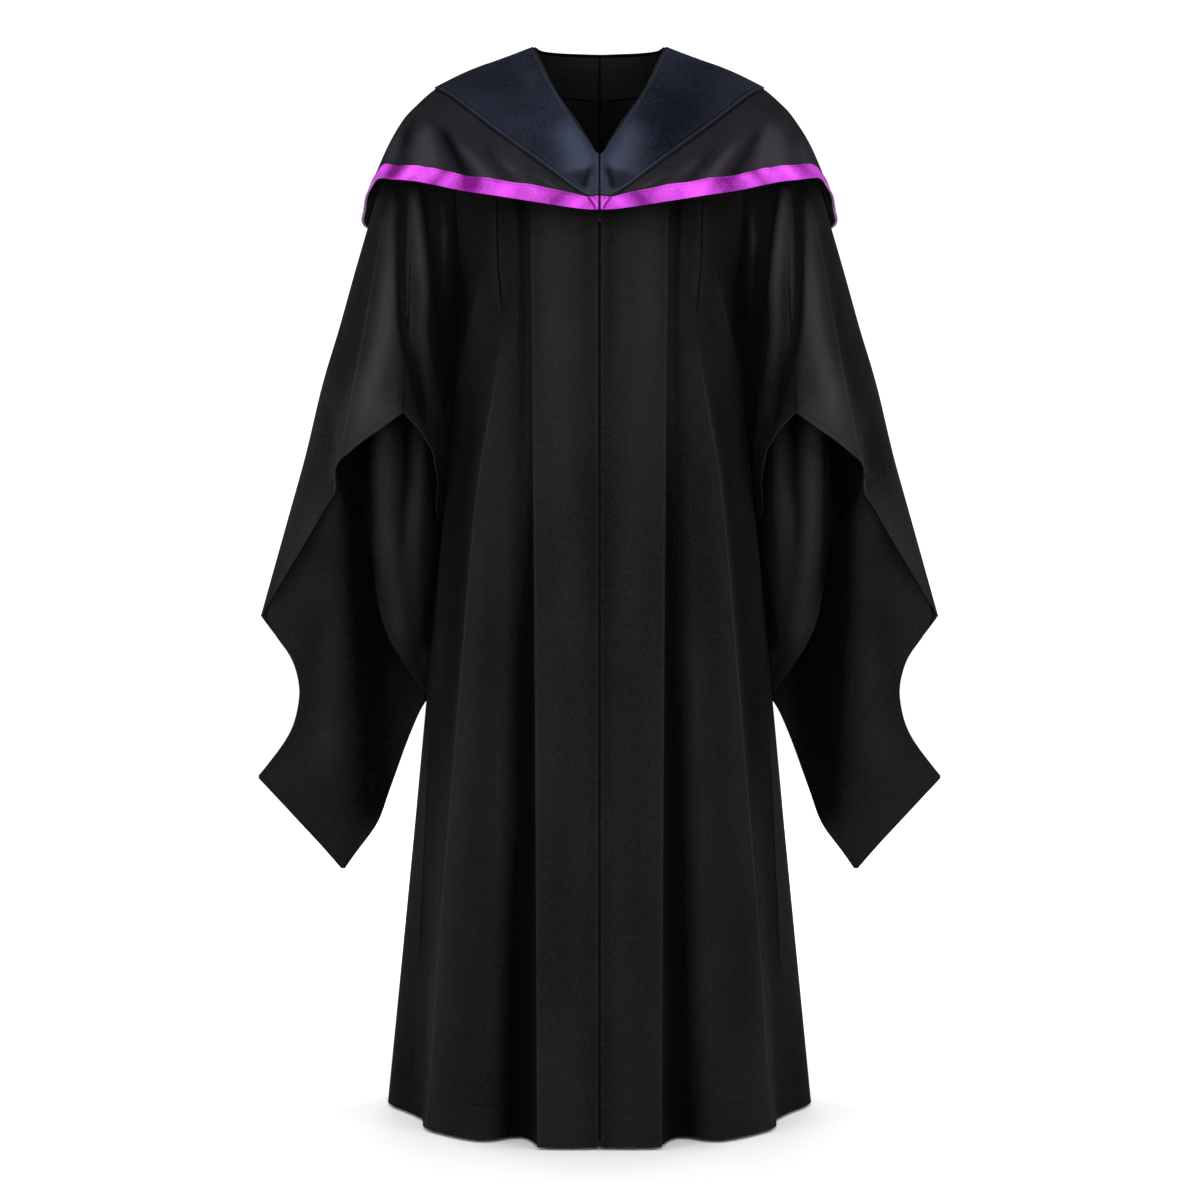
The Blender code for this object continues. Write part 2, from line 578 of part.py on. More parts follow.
def principled(name, colour, roughness, metallic=0.0):
    material = bpy.data.materials.new(name)
    material.use_nodes = True
    shader = material.node_tree.nodes["Principled BSDF"]
    shader.inputs["Base Color"].default_value = (*colour, 1.0)
    shader.inputs["Roughness"].default_value = roughness
    shader.inputs["Metallic"].default_value = metallic
    return material


def sheet(group, name, side, material, wall, place, across, down):
    """A cut piece of cloth: place(u, v) is its middle surface at each station."""
    shape = bmesh.new()
    columns, rows = len(across) - 1, len(down) - 1
    bmesh.ops.create_grid(shape, x_segments=columns, y_segments=rows, size=0.5)
    for vertex in shape.verts:
        u = across[round((vertex.co.x + 0.5) * columns)]
        v = down[round((0.5 - vertex.co.y) * rows)]
        x, y, z = place(u, v)
        vertex.co = (side * x, y, z)
    if side < 0:
        bmesh.ops.reverse_faces(shape, faces=shape.faces)
    mesh = bpy.data.meshes.new(name)
    shape.to_mesh(mesh)
    shape.free()
    mesh.shade_smooth()
    mesh.materials.append(material)
    piece = bpy.data.objects.new(name, mesh)
    group.objects.link(piece)
    thick = piece.modifiers.new("wall", "SOLIDIFY")
    thick.thickness = wall
    thick.offset = 0.0
    return piece


def even(steps):
    return [k / steps for k in range(steps + 1)]


def hood_pieces(group, side, tag, materials):
    ribs = [k * RIB_STEP for k in range(round(LAST_RIB / RIB_STEP) + 1)]
    under = (0.0, 0.30, 0.65, COLLAR_EDGE)
    over = (0.0, 0.33, 0.67, 1.0)

    def shell(rib, place):
        if place <= COLLAR_EDGE:
            return hood(rib, place)
        if place == HOOD_HEM:
            return hood(rib, HOOD_HEM)
        return hood(rib, COLLAR_EDGE + (ribbon_top(rib) - COLLAR_EDGE) * (place - COLLAR_EDGE))

    def collar(rib, place):
        return hood(rib, place, SATIN / 2 + GAP + FACING / 2)

    def ribbon(rib, v):
        place = mix(ribbon_top(rib), HOOD_HEM, v)
        return hood(rib, float(place), SATIN / 2 + GAP + RIBBON / 2)

    down = [*under, *(COLLAR_EDGE + step for step in over[1:]), HOOD_HEM]
    sheet(group, "hood_shell_" + tag, side, materials["shell"], SATIN, shell, ribs, down)
    sheet(group, "collar_" + tag, side, materials["navy"], FACING, collar, ribs, under)
    sheet(group, "ribbon_" + tag, side, materials["ribbon"], RIBBON, ribbon, ribs, (0.0, 1.0))


def body_pieces(group, side, tag, materials):
    cloth = materials["gown"]
    count = round((LAST_RIB - SHOULDER_SEAM) / RIB_STEP)
    ribs = [SHOULDER_SEAM + k * RIB_STEP for k in range(count)] + [LAST_RIB]

    def yoke_place(rib, share):
        return yoke(rib, NECK_IN + (yoke_edge(rib) - NECK_IN) * share)

    sheet(group, "front_band_" + tag, side, cloth, CLOTH, band, even(4), BODY_ROWS)
    sheet(group, "front_" + tag, side, cloth, CLOTH, front_panel, even(15), BODY_ROWS)
    sheet(group, "back_" + tag, side, cloth, CLOTH, back_panel, BACK_STATIONS, BODY_ROWS)
    sheet(group, "yoke_" + tag, side, cloth, CLOTH, yoke_place, ribs, (0.0, 0.18, 0.45, 0.72, 1.0))


def sleeve_pieces(group, side, tag, materials):
    cloth = materials["gown"]
    back = [TUBE_SHARE * place for place in TUBE_ROWS[:-1]]
    levels = len(TAIL_SECTIONS) - 1
    back += [TUBE_SHARE + (1 - TUBE_SHARE) * k / levels for k in range(levels + 1)]
    sheet(group, "sleeve_front_" + tag, side, cloth, CLOTH, sleeve_front, HEM_STATIONS, TUBE_ROWS)
    sheet(group, "sleeve_back_" + tag, side, cloth, CLOTH, sleeve_back, even(12), back)
    sheet(group, "sleeve_fall_" + tag, side, cloth, CLOTH, inner_fall, even(10), even(9))
    tail_steps = len(TAIL_FRONT) + sum(row[0] <= UPPER_TIP_Z for row in TAIL_SECTIONS) - 1
    sheet(group, "sleeve_tail_" + tag, side, cloth, CLOTH, tail_front, even(8), even(tail_steps))


def block(group, name, material, size, middle):
    shape = bmesh.new()
    bmesh.ops.create_cube(shape, size=1.0)
    bmesh.ops.scale(shape, vec=size, verts=shape.verts)
    bmesh.ops.translate(shape, vec=middle, verts=shape.verts)
    mesh = bpy.data.meshes.new(name)
    shape.to_mesh(mesh)
    shape.free()
    mesh.materials.append(material)
    piece = bpy.data.objects.new(name, mesh)
    group.objects.link(piece)
    return piece


def rounded(piece, radius, segments=2):
    bevel = piece.modifiers.new("edge", "BEVEL")
    bevel.width = radius
    bevel.segments = segments
    bevel.limit_method = "ANGLE"
    return piece


def settle(piece):
    """Writes the modifiers into the mesh."""
    deps = bpy.context.evaluated_depsgraph_get()
    done = bpy.data.meshes.new_from_object(piece.evaluated_get(deps))
    piece.modifiers.clear()
    piece.data = done
    return piece


def join(piece, other):
    """Unites two solids into the first."""
    settle(piece)
    settle(other)
    unite = piece.modifiers.new("unite", "BOOLEAN")
    unite.operation = "UNION"
    unite.solver = "EXACT"
    unite.object = other
    settle(piece)
    bpy.data.objects.remove(other, do_unlink=True)
    return piece


def zip_pieces(group, chain_material, material):
    down = [*BODY_ROWS[1:-1], ZIP_END]

    def chain(u, v):
        return zip_line(v) + np.array([ZIP_HALF * (2 * u - 1), 0.0, 0.0])

    sheet(group, "zip_chain", 1, chain_material, ZIP_WALL, chain, even(1), down)
    hinge, lean = hinge_place()
    depth = SLIDER_SIZE[1] / 2 + BARREL_CLEAR + TAB_BARREL
    slider = block(group, "zip_slider", material, SLIDER_SIZE, (0.0, depth, SLIDER_RISE))
    for vertex in slider.data.vertices:
        if vertex.co.z < 0:
            vertex.co.x *= SLIDER_TAPER
    rounded(slider, SLIDER_EDGE)
    for side in (-1, 1):
        reach = TAB_BARREL + BARREL_CLEAR + LUG_SUNK - LUG_SIZE[1] / 2
        lug = block(group, "lug", material, LUG_SIZE, (side * LUG_SPACING / 2, reach, 0.0))
        join(slider, rounded(lug, LUG_EDGE))
    slider.data.transform(Matrix.Rotation(lean, 4, "X"))
    slider.location = hinge
    tab = block(group, "zip_pull", material, (TAB_WIDTH, TAB_WALL, TAB_LENGTH), (0.0, 0.0, -TAB_LENGTH / 2))
    shape = bmesh.new()
    shape.from_mesh(tab.data)
    for level in TAB_SHOULDER:
        geometry = [*shape.verts, *shape.edges, *shape.faces]
        bmesh.ops.bisect_plane(shape, geom=geometry, plane_co=(0.0, 0.0, -level), plane_no=(0.0, 0.0, 1.0))
    for vertex in shape.verts:
        if vertex.co.z > -TAB_SHOULDER[1] + 1e-5:
            vertex.co.x *= TAB_NECK / TAB_WIDTH
    shape.to_mesh(tab.data)
    shape.free()
    rounded(tab, TAB_EDGE)
    shape = bmesh.new()
    bmesh.ops.create_cone(
        shape, cap_ends=True, segments=16, radius1=TAB_BARREL, radius2=TAB_BARREL, depth=TAB_NECK,
        matrix=Matrix.Rotation(math.pi / 2, 4, "Y"),
    )
    barrel = block(group, "barrel", material, (1.0, 1.0, 1.0), (0.0, 0.0, 0.0))
    shape.to_mesh(barrel.data)
    shape.free()
    join(tab, barrel)
    tab.data.transform(Matrix.Rotation(lean, 4, "X"))
    tab.location = hinge


def build():
    group = start()
    materials = {
        "gown": principled("gown_cloth", (0.010, 0.010, 0.011), 0.80),
        "shell": principled("hood_satin", (0.012, 0.011, 0.014), 0.42),
        "navy": principled("collar_satin", (0.018, 0.024, 0.052), 0.45),
        "ribbon": principled("ribbon_satin", (0.50, 0.03, 0.60), 0.35),
        "chain": principled("zip_chain", (0.010, 0.010, 0.010), 0.45),
        "slider": principled("zip_slider_enamel", (0.015, 0.015, 0.015), 0.30, 0.6),
    }
    for side, tag in ((1, "left"), (-1, "right")):
        hood_pieces(group, side, tag, materials)
        body_pieces(group, side, tag, materials)
        sleeve_pieces(group, side, tag, materials)
    zip_pieces(group, materials["chain"], materials["slider"])


build()
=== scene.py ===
"""Looks of the graduation gown: cloth, satin, ribbon, stitching and zip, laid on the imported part."""

import json
import math
from collections import namedtuple

import bmesh
import bpy
import numpy as np
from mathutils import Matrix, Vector
from mathutils.kdtree import KDTree

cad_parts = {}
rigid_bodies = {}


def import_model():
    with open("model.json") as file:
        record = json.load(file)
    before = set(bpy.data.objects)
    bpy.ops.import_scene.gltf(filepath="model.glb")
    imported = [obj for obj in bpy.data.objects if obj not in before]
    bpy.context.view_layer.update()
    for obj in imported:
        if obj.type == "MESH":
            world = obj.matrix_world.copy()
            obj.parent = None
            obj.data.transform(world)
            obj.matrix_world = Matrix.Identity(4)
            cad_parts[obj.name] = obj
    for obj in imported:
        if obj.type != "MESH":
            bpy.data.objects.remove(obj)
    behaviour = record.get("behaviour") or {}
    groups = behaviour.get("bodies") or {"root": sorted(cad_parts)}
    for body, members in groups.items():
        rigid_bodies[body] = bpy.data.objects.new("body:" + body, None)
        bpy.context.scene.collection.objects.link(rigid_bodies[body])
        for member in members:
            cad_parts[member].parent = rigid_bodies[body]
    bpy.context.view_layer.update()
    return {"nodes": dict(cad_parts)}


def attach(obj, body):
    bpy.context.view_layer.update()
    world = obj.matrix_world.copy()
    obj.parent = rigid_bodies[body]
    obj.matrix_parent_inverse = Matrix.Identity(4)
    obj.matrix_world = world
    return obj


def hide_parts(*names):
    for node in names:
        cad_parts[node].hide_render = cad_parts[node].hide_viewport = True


# ---- the photograph's view, in pixels of its 1200 x 1200 frame ----
DISTANCE = 3.0  # camera to the plane of the shoulders
EYE_Z = -0.613  # the camera looks level, at half the gown's height
LENS = 80.0
SENSOR = 36.0
FRAME = 1200
FOCAL = FRAME * LENS / SENSOR
MIDDLE = 599.5  # column of the gown's centre line
PIXEL = DISTANCE / FOCAL  # size of one pixel in the plane of the shoulders

# ---- cloth sizes ----
WALLS = {"hood_shell": 0.0016, "collar": 0.0014, "ribbon": 0.0010, "zip_chain": 0.0012}
GOWN_WALL = 0.0020
BESIDE_EDGE = 0.0008  # a finished sheet has a row of points this far from each edge
CORNERS = {"collar": 20.0}  # degrees; an outline that turns by more has a sharp corner there
CORNER = 38.0
WELD = 1e-5
MM = 0.001
PAIR_REACH = 1.3  # a point's partner on the other face is within so many walls of it
PAIR_SQUARE = 0.4  # and at least so near to straight below it, as a cosine
TUCKED = ("sleeve_front", "sleeve_back", "sleeve_fall")
TUCK = 0.0075  # how far a sleeve's inner edge is drawn in behind the body's side
TUCK_WIDTH = 0.030  # how far out from the edge that reaches
TUCK_ROWS = (270, 712)  # between which rows of the photograph
TUCK_FADE = 40  # rows over which it fades in and out
NECK_EASE = 0.0035  # how far the collar's front edge is drawn back at its middle
NECK_EASE_ROW = 126  # that middle's row
NECK_EASE_ROWS = 20  # how far it reaches along the edge
NECK_EASE_WIDTH = 0.02  # and away from it
EVEN_ROW = 342  # the sleeve front's row of points that is laid between its neighbours
EVEN_REACH = (0.10, 0.13)  # wholly up to the first distance from the outer edge, fading to the second


# ---- small helpers ----
def unit(vectors):
    return vectors / np.maximum(np.linalg.norm(vectors, axis=-1, keepdims=True), 1e-9)


def ease(value):
    value = np.clip(value, 0.0, 1.0)
    return value * value * (3 - 2 * value)


def summed(steps):
    """How far along each point is, from the lengths of the steps between the points."""
    return np.concatenate([[0.0], np.cumsum(steps)])


def at_length(where, along, values):
    """The three coordinates at one length along a track."""
    return np.array([np.interp(where, along, values[:, axis]) for axis in range(3)])


def seen(grid):
    """Each point's distance from the centre line and row in the photograph, in pixels."""
    scale = FOCAL / (DISTANCE + grid[..., 1])
    return np.stack([grid[..., 0] * scale, FRAME / 2 - (grid[..., 2] - EYE_Z) * scale], axis=-1)


# ---- reading a cloth solid back as a grid of points ----
def wall_of(name):
    return next((wall for start, wall in WALLS.items() if name.startswith(start)), GOWN_WALL)


def pair_faces(shape, wall):
    """For each point of a thin solid, the point opposite it on its other face."""
    tree = KDTree(len(shape.verts))
    for vertex in shape.verts:
        tree.insert(vertex.co, vertex.index)
    tree.balance()
    pairs = {}
    for vertex in shape.verts:
        near = [
            (abs(away - wall), index)
            for spot, index, away in tree.find_range(vertex.co, wall * PAIR_REACH)
            if index != vertex.index and abs((spot - vertex.co).normalized() @ vertex.normal) > PAIR_SQUARE
        ]
        pairs[vertex.index] = min(near)[1] if near else None
    return pairs


def one_side(shape, pairs):
    """Faces of one side of a thin solid, without its rim."""
    left = {
        face for face in shape.faces
        if not {pairs[vertex.index] for vertex in face.verts} & {vertex.index for vertex in face.verts}
    }
    start = min(left, key=lambda face: face.index)
    left.discard(start)
    side, ahead = [start], [start]
    while ahead:
        for edge in ahead.pop().edges:
            new = [face for face in edge.link_faces if face in left]
            left.difference_update(new)
            side += new
            ahead += new
    return side


def rim_and_links(side):
    """The side's outer loop of points in order, and each point's neighbours."""
    links, count = {}, {}
    for face in side:
        for edge in face.edges:
            a, b = edge.verts
            links.setdefault(a, set()).add(b)
            links.setdefault(b, set()).add(a)
            count[edge] = count.get(edge, 0) + 1
    beside = {}
    for edge, faces in count.items():
        if faces == 1:
            a, b = edge.verts
            beside.setdefault(a, []).append(b)
            beside.setdefault(b, []).append(a)
    first = min(beside, key=lambda vertex: vertex.index)
    loop = [first, beside[first][0]]
    while loop[-1] is not first:
        a, b = beside[loop[-1]]
        loop.append(b if a is loop[-2] else a)
    return loop[:-1], links


def peel(loop, links, start, length):
    """Rows of the grid whose first row is this stretch of the loop, or None if it isn't one."""
    row = [loop[(start + k) % len(loop)] for k in range(length)]
    used, rows = set(row), [row]
    while len(used) < len(links):
        ahead = {beside for vertex in row for beside in links[vertex]} - used
        first = loop[(start - len(rows)) % len(loop)]
        if len(ahead) != length or first not in ahead:
            return None
        after = [first]
        while len(after) < length:
            step = [vertex for vertex in links[after[-1]] if vertex in ahead and vertex not in after]
            if len(step) != 1:
                return None
            after += step
        if any(below not in links[above] for above, below in zip(row, after)):
            return None
        row = after
        used.update(row)
        rows.append(row)
    return rows


def lattice(node):
    """Middle surface of a cloth solid, as the grid of points that its maker laid out."""
    shape = bmesh.new()
    shape.from_mesh(node.data)
    bmesh.ops.remove_doubles(shape, verts=shape.verts, dist=WELD)
    shape.normal_update()
    shape.verts.index_update()
    shape.verts.ensure_lookup_table()
    shape.faces.index_update()
    pairs = pair_faces(shape, wall_of(node.name))
    loop, links = rim_and_links(one_side(shape, pairs))
    half = len(loop) / 2 + 2
    root = math.sqrt(half * half - 4 * len(links))
    found = []
    for length in sorted({round((half + root) / 2), round((half - root) / 2)}):
        for start in range(len(loop)):
            rows = peel(loop, links, start, length)
            if rows:
                grid = np.array([
                    [(vertex.co + shape.verts[pairs[vertex.index]].co) / 2 for vertex in row] for row in rows
                ])
                reach = sum(np.linalg.norm(np.diff(grid, axis=axis), axis=2).sum() for axis in (0, 1))
                found.append((round(reach, 5), length, start, grid))
    shape.free()
    if not found:
        raise ValueError(f"{node.name} can't be read as a grid")
    return min(found, key=lambda entry: entry[:3])[3]


def upright(grid, round_neck):
    """Turns the grid so that rows go down, and columns go outwards or from front to back."""
    drops = [
        np.abs(np.diff(grid[..., 2], axis=axis)).sum()
        / np.linalg.norm(np.diff(grid, axis=axis), axis=2).sum()
        for axis in (0, 1)
    ]
    if drops[1] > drops[0]:
        grid = grid.swapaxes(0, 1)
    if grid[0, :, 2].mean() < grid[-1, :, 2].mean():
        grid = grid[::-1]
    order = grid[..., 1] if round_neck else grid[..., 0]
    if order[:, 0].mean() > order[:, -1].mean():
        grid = grid[:, ::-1]
    return grid


def natural_spline(knots, values, at, corner=CORNER):
    """Smooth curves through values at the knots, sharp where they turn by more than so many degrees."""
    gaps = np.diff(knots)
    count, lines = values.shape[:2]
    slope = np.diff(values, axis=0) / gaps[:, None, None]
    way = unit(slope)
    smooth = (way[1:] * way[:-1]).sum(axis=2) > math.cos(math.radians(corner))
    matrix = np.tile(np.eye(count), (lines, 1, 1))
    right = np.zeros_like(values)
    for k in range(1, count - 1):
        on = smooth[k - 1]
        matrix[on, k, k - 1:k + 2] = gaps[k - 1], 2 * (gaps[k - 1] + gaps[k]), gaps[k]
        right[k, on] = 6 * (slope[k] - slope[k - 1])[on]
    bend = np.linalg.solve(matrix, right.swapaxes(0, 1)).swapaxes(0, 1)
    k = np.clip(np.searchsorted(knots, at, side="right") - 1, 0, count - 2)
    gap = gaps[k][:, None, None]
    before = (knots[k + 1] - at)[:, None, None]
    after = (at - knots[k])[:, None, None]
    curve = (bend[k] * before ** 3 + bend[k + 1] * after ** 3) / (6 * gap)
    curve += (values[k] / gap - bend[k] * gap / 6) * before
    return curve + (values[k + 1] / gap - bend[k + 1] * gap / 6) * after


def refined(grid, spacing, ends, corner):
    """The same sheet on a finer grid, each edge taken outwards, or cut back, by the length in ends."""
    for axis in (0, 1):
        values = np.moveaxis(grid, axis, 0)
        steps = np.linalg.norm(np.diff(values, axis=0), axis=2).mean(axis=1)
        knots = summed(steps)
        more = [ends[2 * axis] * MM, ends[2 * axis + 1] * MM]
        low, high = max(-more[0], 0.0), knots[-1] - max(-more[1], 0.0)
        even = np.linspace(low, high, max(round((high - low) / spacing), 4) + 1)
        beside_edge = [low + BESIDE_EDGE, high - BESIDE_EDGE]
        values = natural_spline(knots, values, np.sort(np.concatenate([even, beside_edge])), corner)
        for edge, inner, length in ((0, 1, more[0]), (-1, -2, more[1])):
            values[edge] += unit(values[edge] - values[inner]) * max(length, 0.0)
        grid = np.moveaxis(values, 0, axis)
    return grid


def tucked(grid):
    """A sleeve's sheet with its inner edge drawn in behind the body, so that no light shows between."""
    rows = seen(grid)[..., 1]
    low, high = TUCK_ROWS
    shape = np.exp(-(from_edge(grid, "first") / TUCK_WIDTH) ** 2)
    shape = shape * ease((rows - low) / TUCK_FADE) * ease((high - rows) / TUCK_FADE)
    return grid - shape[..., None] * (TUCK, 0.0, 0.0)


def evened(grid):
    """The sleeve's front with the outer part of one row laid between the rows beside it."""
    rows = seen(grid)[..., 1]
    k = np.abs(rows[:, -1] - EVEN_ROW).argmin()
    near, far = EVEN_REACH
    weight = ease((far - from_edge(grid, "last")[k]) / (far - near))[:, None]
    share = ((rows[k] - rows[k - 1]) / (rows[k + 1] - rows[k - 1]))[:, None]
    between = grid[k - 1] + (grid[k + 1] - grid[k - 1]) * share
    grid = grid.copy()
    grid[k] += (between - grid[k]) * weight
    return grid


def eased(grid):
    """The collar with its front edge drawn back to a straight line."""
    rows = (seen(grid)[..., 1] - NECK_EASE_ROW) / NECK_EASE_ROWS
    away = from_edge(grid, "top") / NECK_EASE_WIDTH
    shape = np.exp(-rows ** 2 - away ** 2) * (1 - at_rear(grid))
    return grid + shape[..., None] * (NECK_EASE, 0.0, 0.0)


def outward(grid, facing):
    """Unit normals on the side that faces out."""
    rows = [np.gradient(grid[..., k], axis=0) for k in range(3)]
    columns = [np.gradient(grid[..., k], axis=1) for k in range(3)]
    normal = unit(np.cross(np.stack(columns, axis=-1), np.stack(rows, axis=-1)))
    away = grid * (1.0, 1.0, 0.0) if facing is None else np.array(facing)
    return normal * (1.0 if (normal * away).sum() > 0 else -1.0)


def lengths(grid):
    """How far each point is along its row and down its column, in metres."""
    across = np.linalg.norm(np.diff(grid, axis=1), axis=2)
    down = np.linalg.norm(np.diff(grid, axis=0), axis=2)
    across = np.pad(np.cumsum(across, axis=1), ((0, 0), (1, 0)))
    down = np.pad(np.cumsum(down, axis=0), ((1, 0), (0, 0)))
    return across, down


def from_edge(grid, edge):
    """How far each point is from one edge of the sheet, in metres."""
    across, down = lengths(grid)
    return {
        "top": down,
        "bottom": down[-1] - down,
        "first": across,
        "last": across[:, -1:] - across,
    }[edge]


# ---- creases ----
# A crease is a soft ridge, or a trough where its height is negative. Its line runs down the cloth.
# Each point of the line is so many pixels from the centre line, on a row of the photograph's frame.
# Height and widths are in millimetres in the plane of the shoulders. The widths are to the side of
# the centre line and away from it; at the line's end they have grown by the share in spread. Over
# the shares start and end of its length the crease fades in and out.
# A crease's height also paints the cloth's colour through the material: painted highlight on a ridge,
# painted shade in a trough.
Crease = namedtuple("Crease", "what height inner outer spread start end line")


def tables(rows):
    """Creases by the name of their piece."""
    return {piece: tuple(Crease(*row) for row in rows[piece]) for piece in rows}


# Lines that more than one table uses.
LONG_RIDGE = (
    (82, 276), (95.5, 336), (106.5, 405), (116.5, 462), (123.5, 518), (131.5, 611), (138.5, 697),
    (157.5, 929), (167.5, 1084), (172, 1130),
)
PRESSED_LINE = (
    (211.5, 199), (213.5, 221), (222.5, 267), (232.5, 323), (243.5, 378), (257.5, 447), (262, 470),
)
OUTER_FOLD = ((203, 184), (206, 215), (210, 240), (212, 275), (216, 320))
MIDDLE_FOLD = ((185, 184), (180.5, 215), (177, 260), (175, 290), (177, 330), (172, 372))
BESIDE_FOLD = (
    (176, 188), (171.5, 215), (166, 250), (162.5, 305), (158, 345), (154.5, 380), (149.5, 440), (146, 500),
)

HOOD = ("hood_shell", "collar", "ribbon")  # these sheets go round the neck
HOOD_FRONT = (
    ("fold over the shoulder", 3.2, 7, 4, 0.5, 0.3, 0.3, ((181, 100), (197, 135), (211, 168), (233, 202))),
    ("hollow in front of it", -2.4, 6, 4, 0.5, 0.3, 0.3, ((186, 112), (198, 140), (208, 166), (218, 190))),
    ("outer soft fold", 2.4, 6, 7, 0.8, 0.3, 0.3, ((176, 118), (178, 146), (180, 168), (184, 190))),
    ("second soft fold", 2.4, 5, 4, 0.8, 0.2, 0.4, ((172, 118), (170, 142), (166, 164), (160, 190))),
    ("wedge", -2.6, 4, 4, 1.4, 0.2, 0.4, ((162, 122), (149, 148), (134, 174), (126, 196))),
    ("bright fold", 2, 4, 4, 0.8, 0.2, 0.4, ((144, 138), (125, 160), (108, 182), (98, 198))),
    ("hollow inside it", -1.2, 5, 4, 0.8, 0.3, 0.3, ((122, 142), (102, 164), (84, 186), (76, 200))),
    ("faint fold", 1, 6, 5, 0.5, 0.3, 0.3, ((104, 150), (84, 170), (64, 190), (56, 202))),
    ("innermost hollow", -0.6, 5, 5, 0.5, 0.3, 0.3, ((84, 160), (66, 176), (46, 194), (40, 204))),
)
HOOD_BACK = (
    ("fold beside the middle", 2, 9, 8, 0.6, 0.5, 0, ((24, 120), (29, 180), (36, 256))),
    ("hollow beside it", -1.8, 8, 9, 0.6, 0.4, 0, ((46, 130), (54, 185), (64, 254))),
    ("middle fold", 2.6, 8, 10, 0.7, 0.5, 0, ((70, 105), (84, 175), (98, 252))),
    ("long hollow", -2.2, 9, 8, 0.6, 0.3, 0, ((92, 118), (110, 180), (129, 248))),
    ("outer fold", 2.4, 9, 7, 0.7, 0.4, 0, ((120, 100), (143, 165), (166, 242))),
    ("outer hollow", -1.6, 8, 7, 0.6, 0.4, 0, ((146, 112), (172, 170), (196, 232))),
)
CREASES = tables({
    "hood_back": HOOD_BACK,
    **dict.fromkeys(HOOD, HOOD_FRONT),
    "front_band": (
        ("hollow beside the zip", -0.9, 5, 8, 0, 0, 0.6, ((13, 205), (12, 260), (12, 420))),
        ("low hollow", -0.7, 14, 18, 0.2, 0.4, 0.3, ((38, 560), (35, 800), (40, 1080))),
        ("faint ridge", 0.8, 12, 14, 0.2, 0.4, 0.4, ((30, 300), (34, 480), (28, 700))),
    ),
    "front": (
        ("pleat", 1.3, 5, 7, 0, 0, 0.3, ((102, 195), (100.5, 263), (96.5, 315))),
        ("long ridge", 1.7, 12, 4, 0.4, 0.18, 0, LONG_RIDGE),
        ("hollow outside it", -1.2, 9, 16, 0.4, 0.2, 0.1,
         ((104, 330), (128, 450), (146, 611), (158, 780), (176, 1000))),
        ("short ridge", 1.2, 12, 4, 0, 0.25, 0.35, ((116, 272), (126, 323), (136.5, 372), (143, 420))),
        ("valley at the band", -4.5, 8, 10, 0.7, 0.6, 0, ((71, 330), (72, 560), (75, 800), (82, 1135))),
        ("soft inner fold", 0.9, 9, 9, 0.4, 0.4, 0.2, ((84, 420), (92, 600), (98, 850), (104, 1130))),
    ),
    "back": (
        ("fold beside the seam", 3.2, 10, 12, 0.6, 0.25, 0, ((14, 110), (17, 420), (25, 1080))),
        ("first hollow", -3, 9, 11, 0.7, 0.3, 0.1, ((33, 110), (40, 430), (52, 1080))),
        ("second fold", 3.6, 10, 9, 0.7, 0.15, 0, ((52, 112), (62, 460), (80, 1082))),
        ("second hollow", -2.8, 9, 12, 0.6, 0.4, 0, ((72, 112), (84, 500), (106, 1086))),
        ("short fold", 2.6, 8, 10, 0.4, 0.2, 0.6, ((88, 108), (98, 330), (108, 640))),
        ("third fold", 3.4, 12, 9, 0.5, 0.5, 0, ((98, 260), (116, 640), (136, 1094))),
        ("outer hollow", -2.6, 10, 12, 0.5, 0.5, 0.1, ((122, 250), (138, 640), (160, 1100))),
    ),
    "sleeve_front": (
        ("pressed line", 2.2, 22, 5, 0.4, 0.25, 0, PRESSED_LINE),
        ("outer bright fold", 3, 6, 6, 2.2, 0.04, 0.15, (*OUTER_FOLD, (219, 358), (230, 395), (238, 440))),
        ("dark fold", -4.6, 5.6, 6, -0.5, 0.04, 0.15,
         ((198, 184), (199, 215), (199, 240), (199, 275), (197.5, 320), (194, 345), (186.5, 370),
          (182, 395), (174, 435))),
        ("middle bright fold", 3.8, 4.5, 7, 0.2, 0.04, 0.2, (*MIDDLE_FOLD, (169, 400), (163, 440))),
        ("fold beside it", -4.6, 4, 4, 0.2, 0.05, 0.1, BESIDE_FOLD),
        ("inner fold", 1.4, 3.5, 3.5, 0.2, 0.05, 0.4, ((154, 200), (153, 262), (153, 323), (148, 365))),
    ),
    "sleeve_back": (
        ("inner fold", 3, 8, 9, 0.4, 0.2, 0.4, ((160, 120), (168, 330), (176, 560))),
        ("first hollow", -3, 9, 9, 0.5, 0.2, 0.3, ((171, 130), (188, 380), (206, 640))),
        ("long fold", 3.6, 9, 11, 0.6, 0.15, 0.2, ((180, 120), (208, 400), (236, 690), (250, 800))),
        ("second hollow", -2.8, 9, 10, 0.4, 0.3, 0.3, ((196, 190), (230, 420), (262, 640))),
        ("outer fold", 2.8, 10, 8, 0.4, 0.3, 0.3, ((208, 230), (254, 440), (296, 640))),
    ),
    "sleeve_fall": (
        ("outer light", 2.6, 8, 9, 0.2, 0, 0.3,
         ((213, 430), (212, 510), (205, 565), (197, 620), (190, 670))),
        ("dark fold", -3.6, 4.5, 5, 0.3, 0, 0.4, ((193, 420), (192.5, 480), (194, 520), (195, 552))),
        ("inner light", 3.2, 7, 8, 0.3, 0, 0.25,
         ((178, 425), (180, 500), (187, 565), (190, 620), (188, 660))),
    ),
    "sleeve_tail": (
        ("inner hollow", -2, 9, 12, 0.3, 0.3, 0.3, ((234, 520), (228, 640), (224, 730))),
        ("soft fold", 1.6, 12, 14, 0.5, 0.4, 0.3, ((262, 560), (272, 680), (276, 800))),
        ("short line", 1.2, 3, 4, 0, 0.3, 0.5, ((229.5, 762), (227.5, 785), (224.5, 804))),
    ),
})
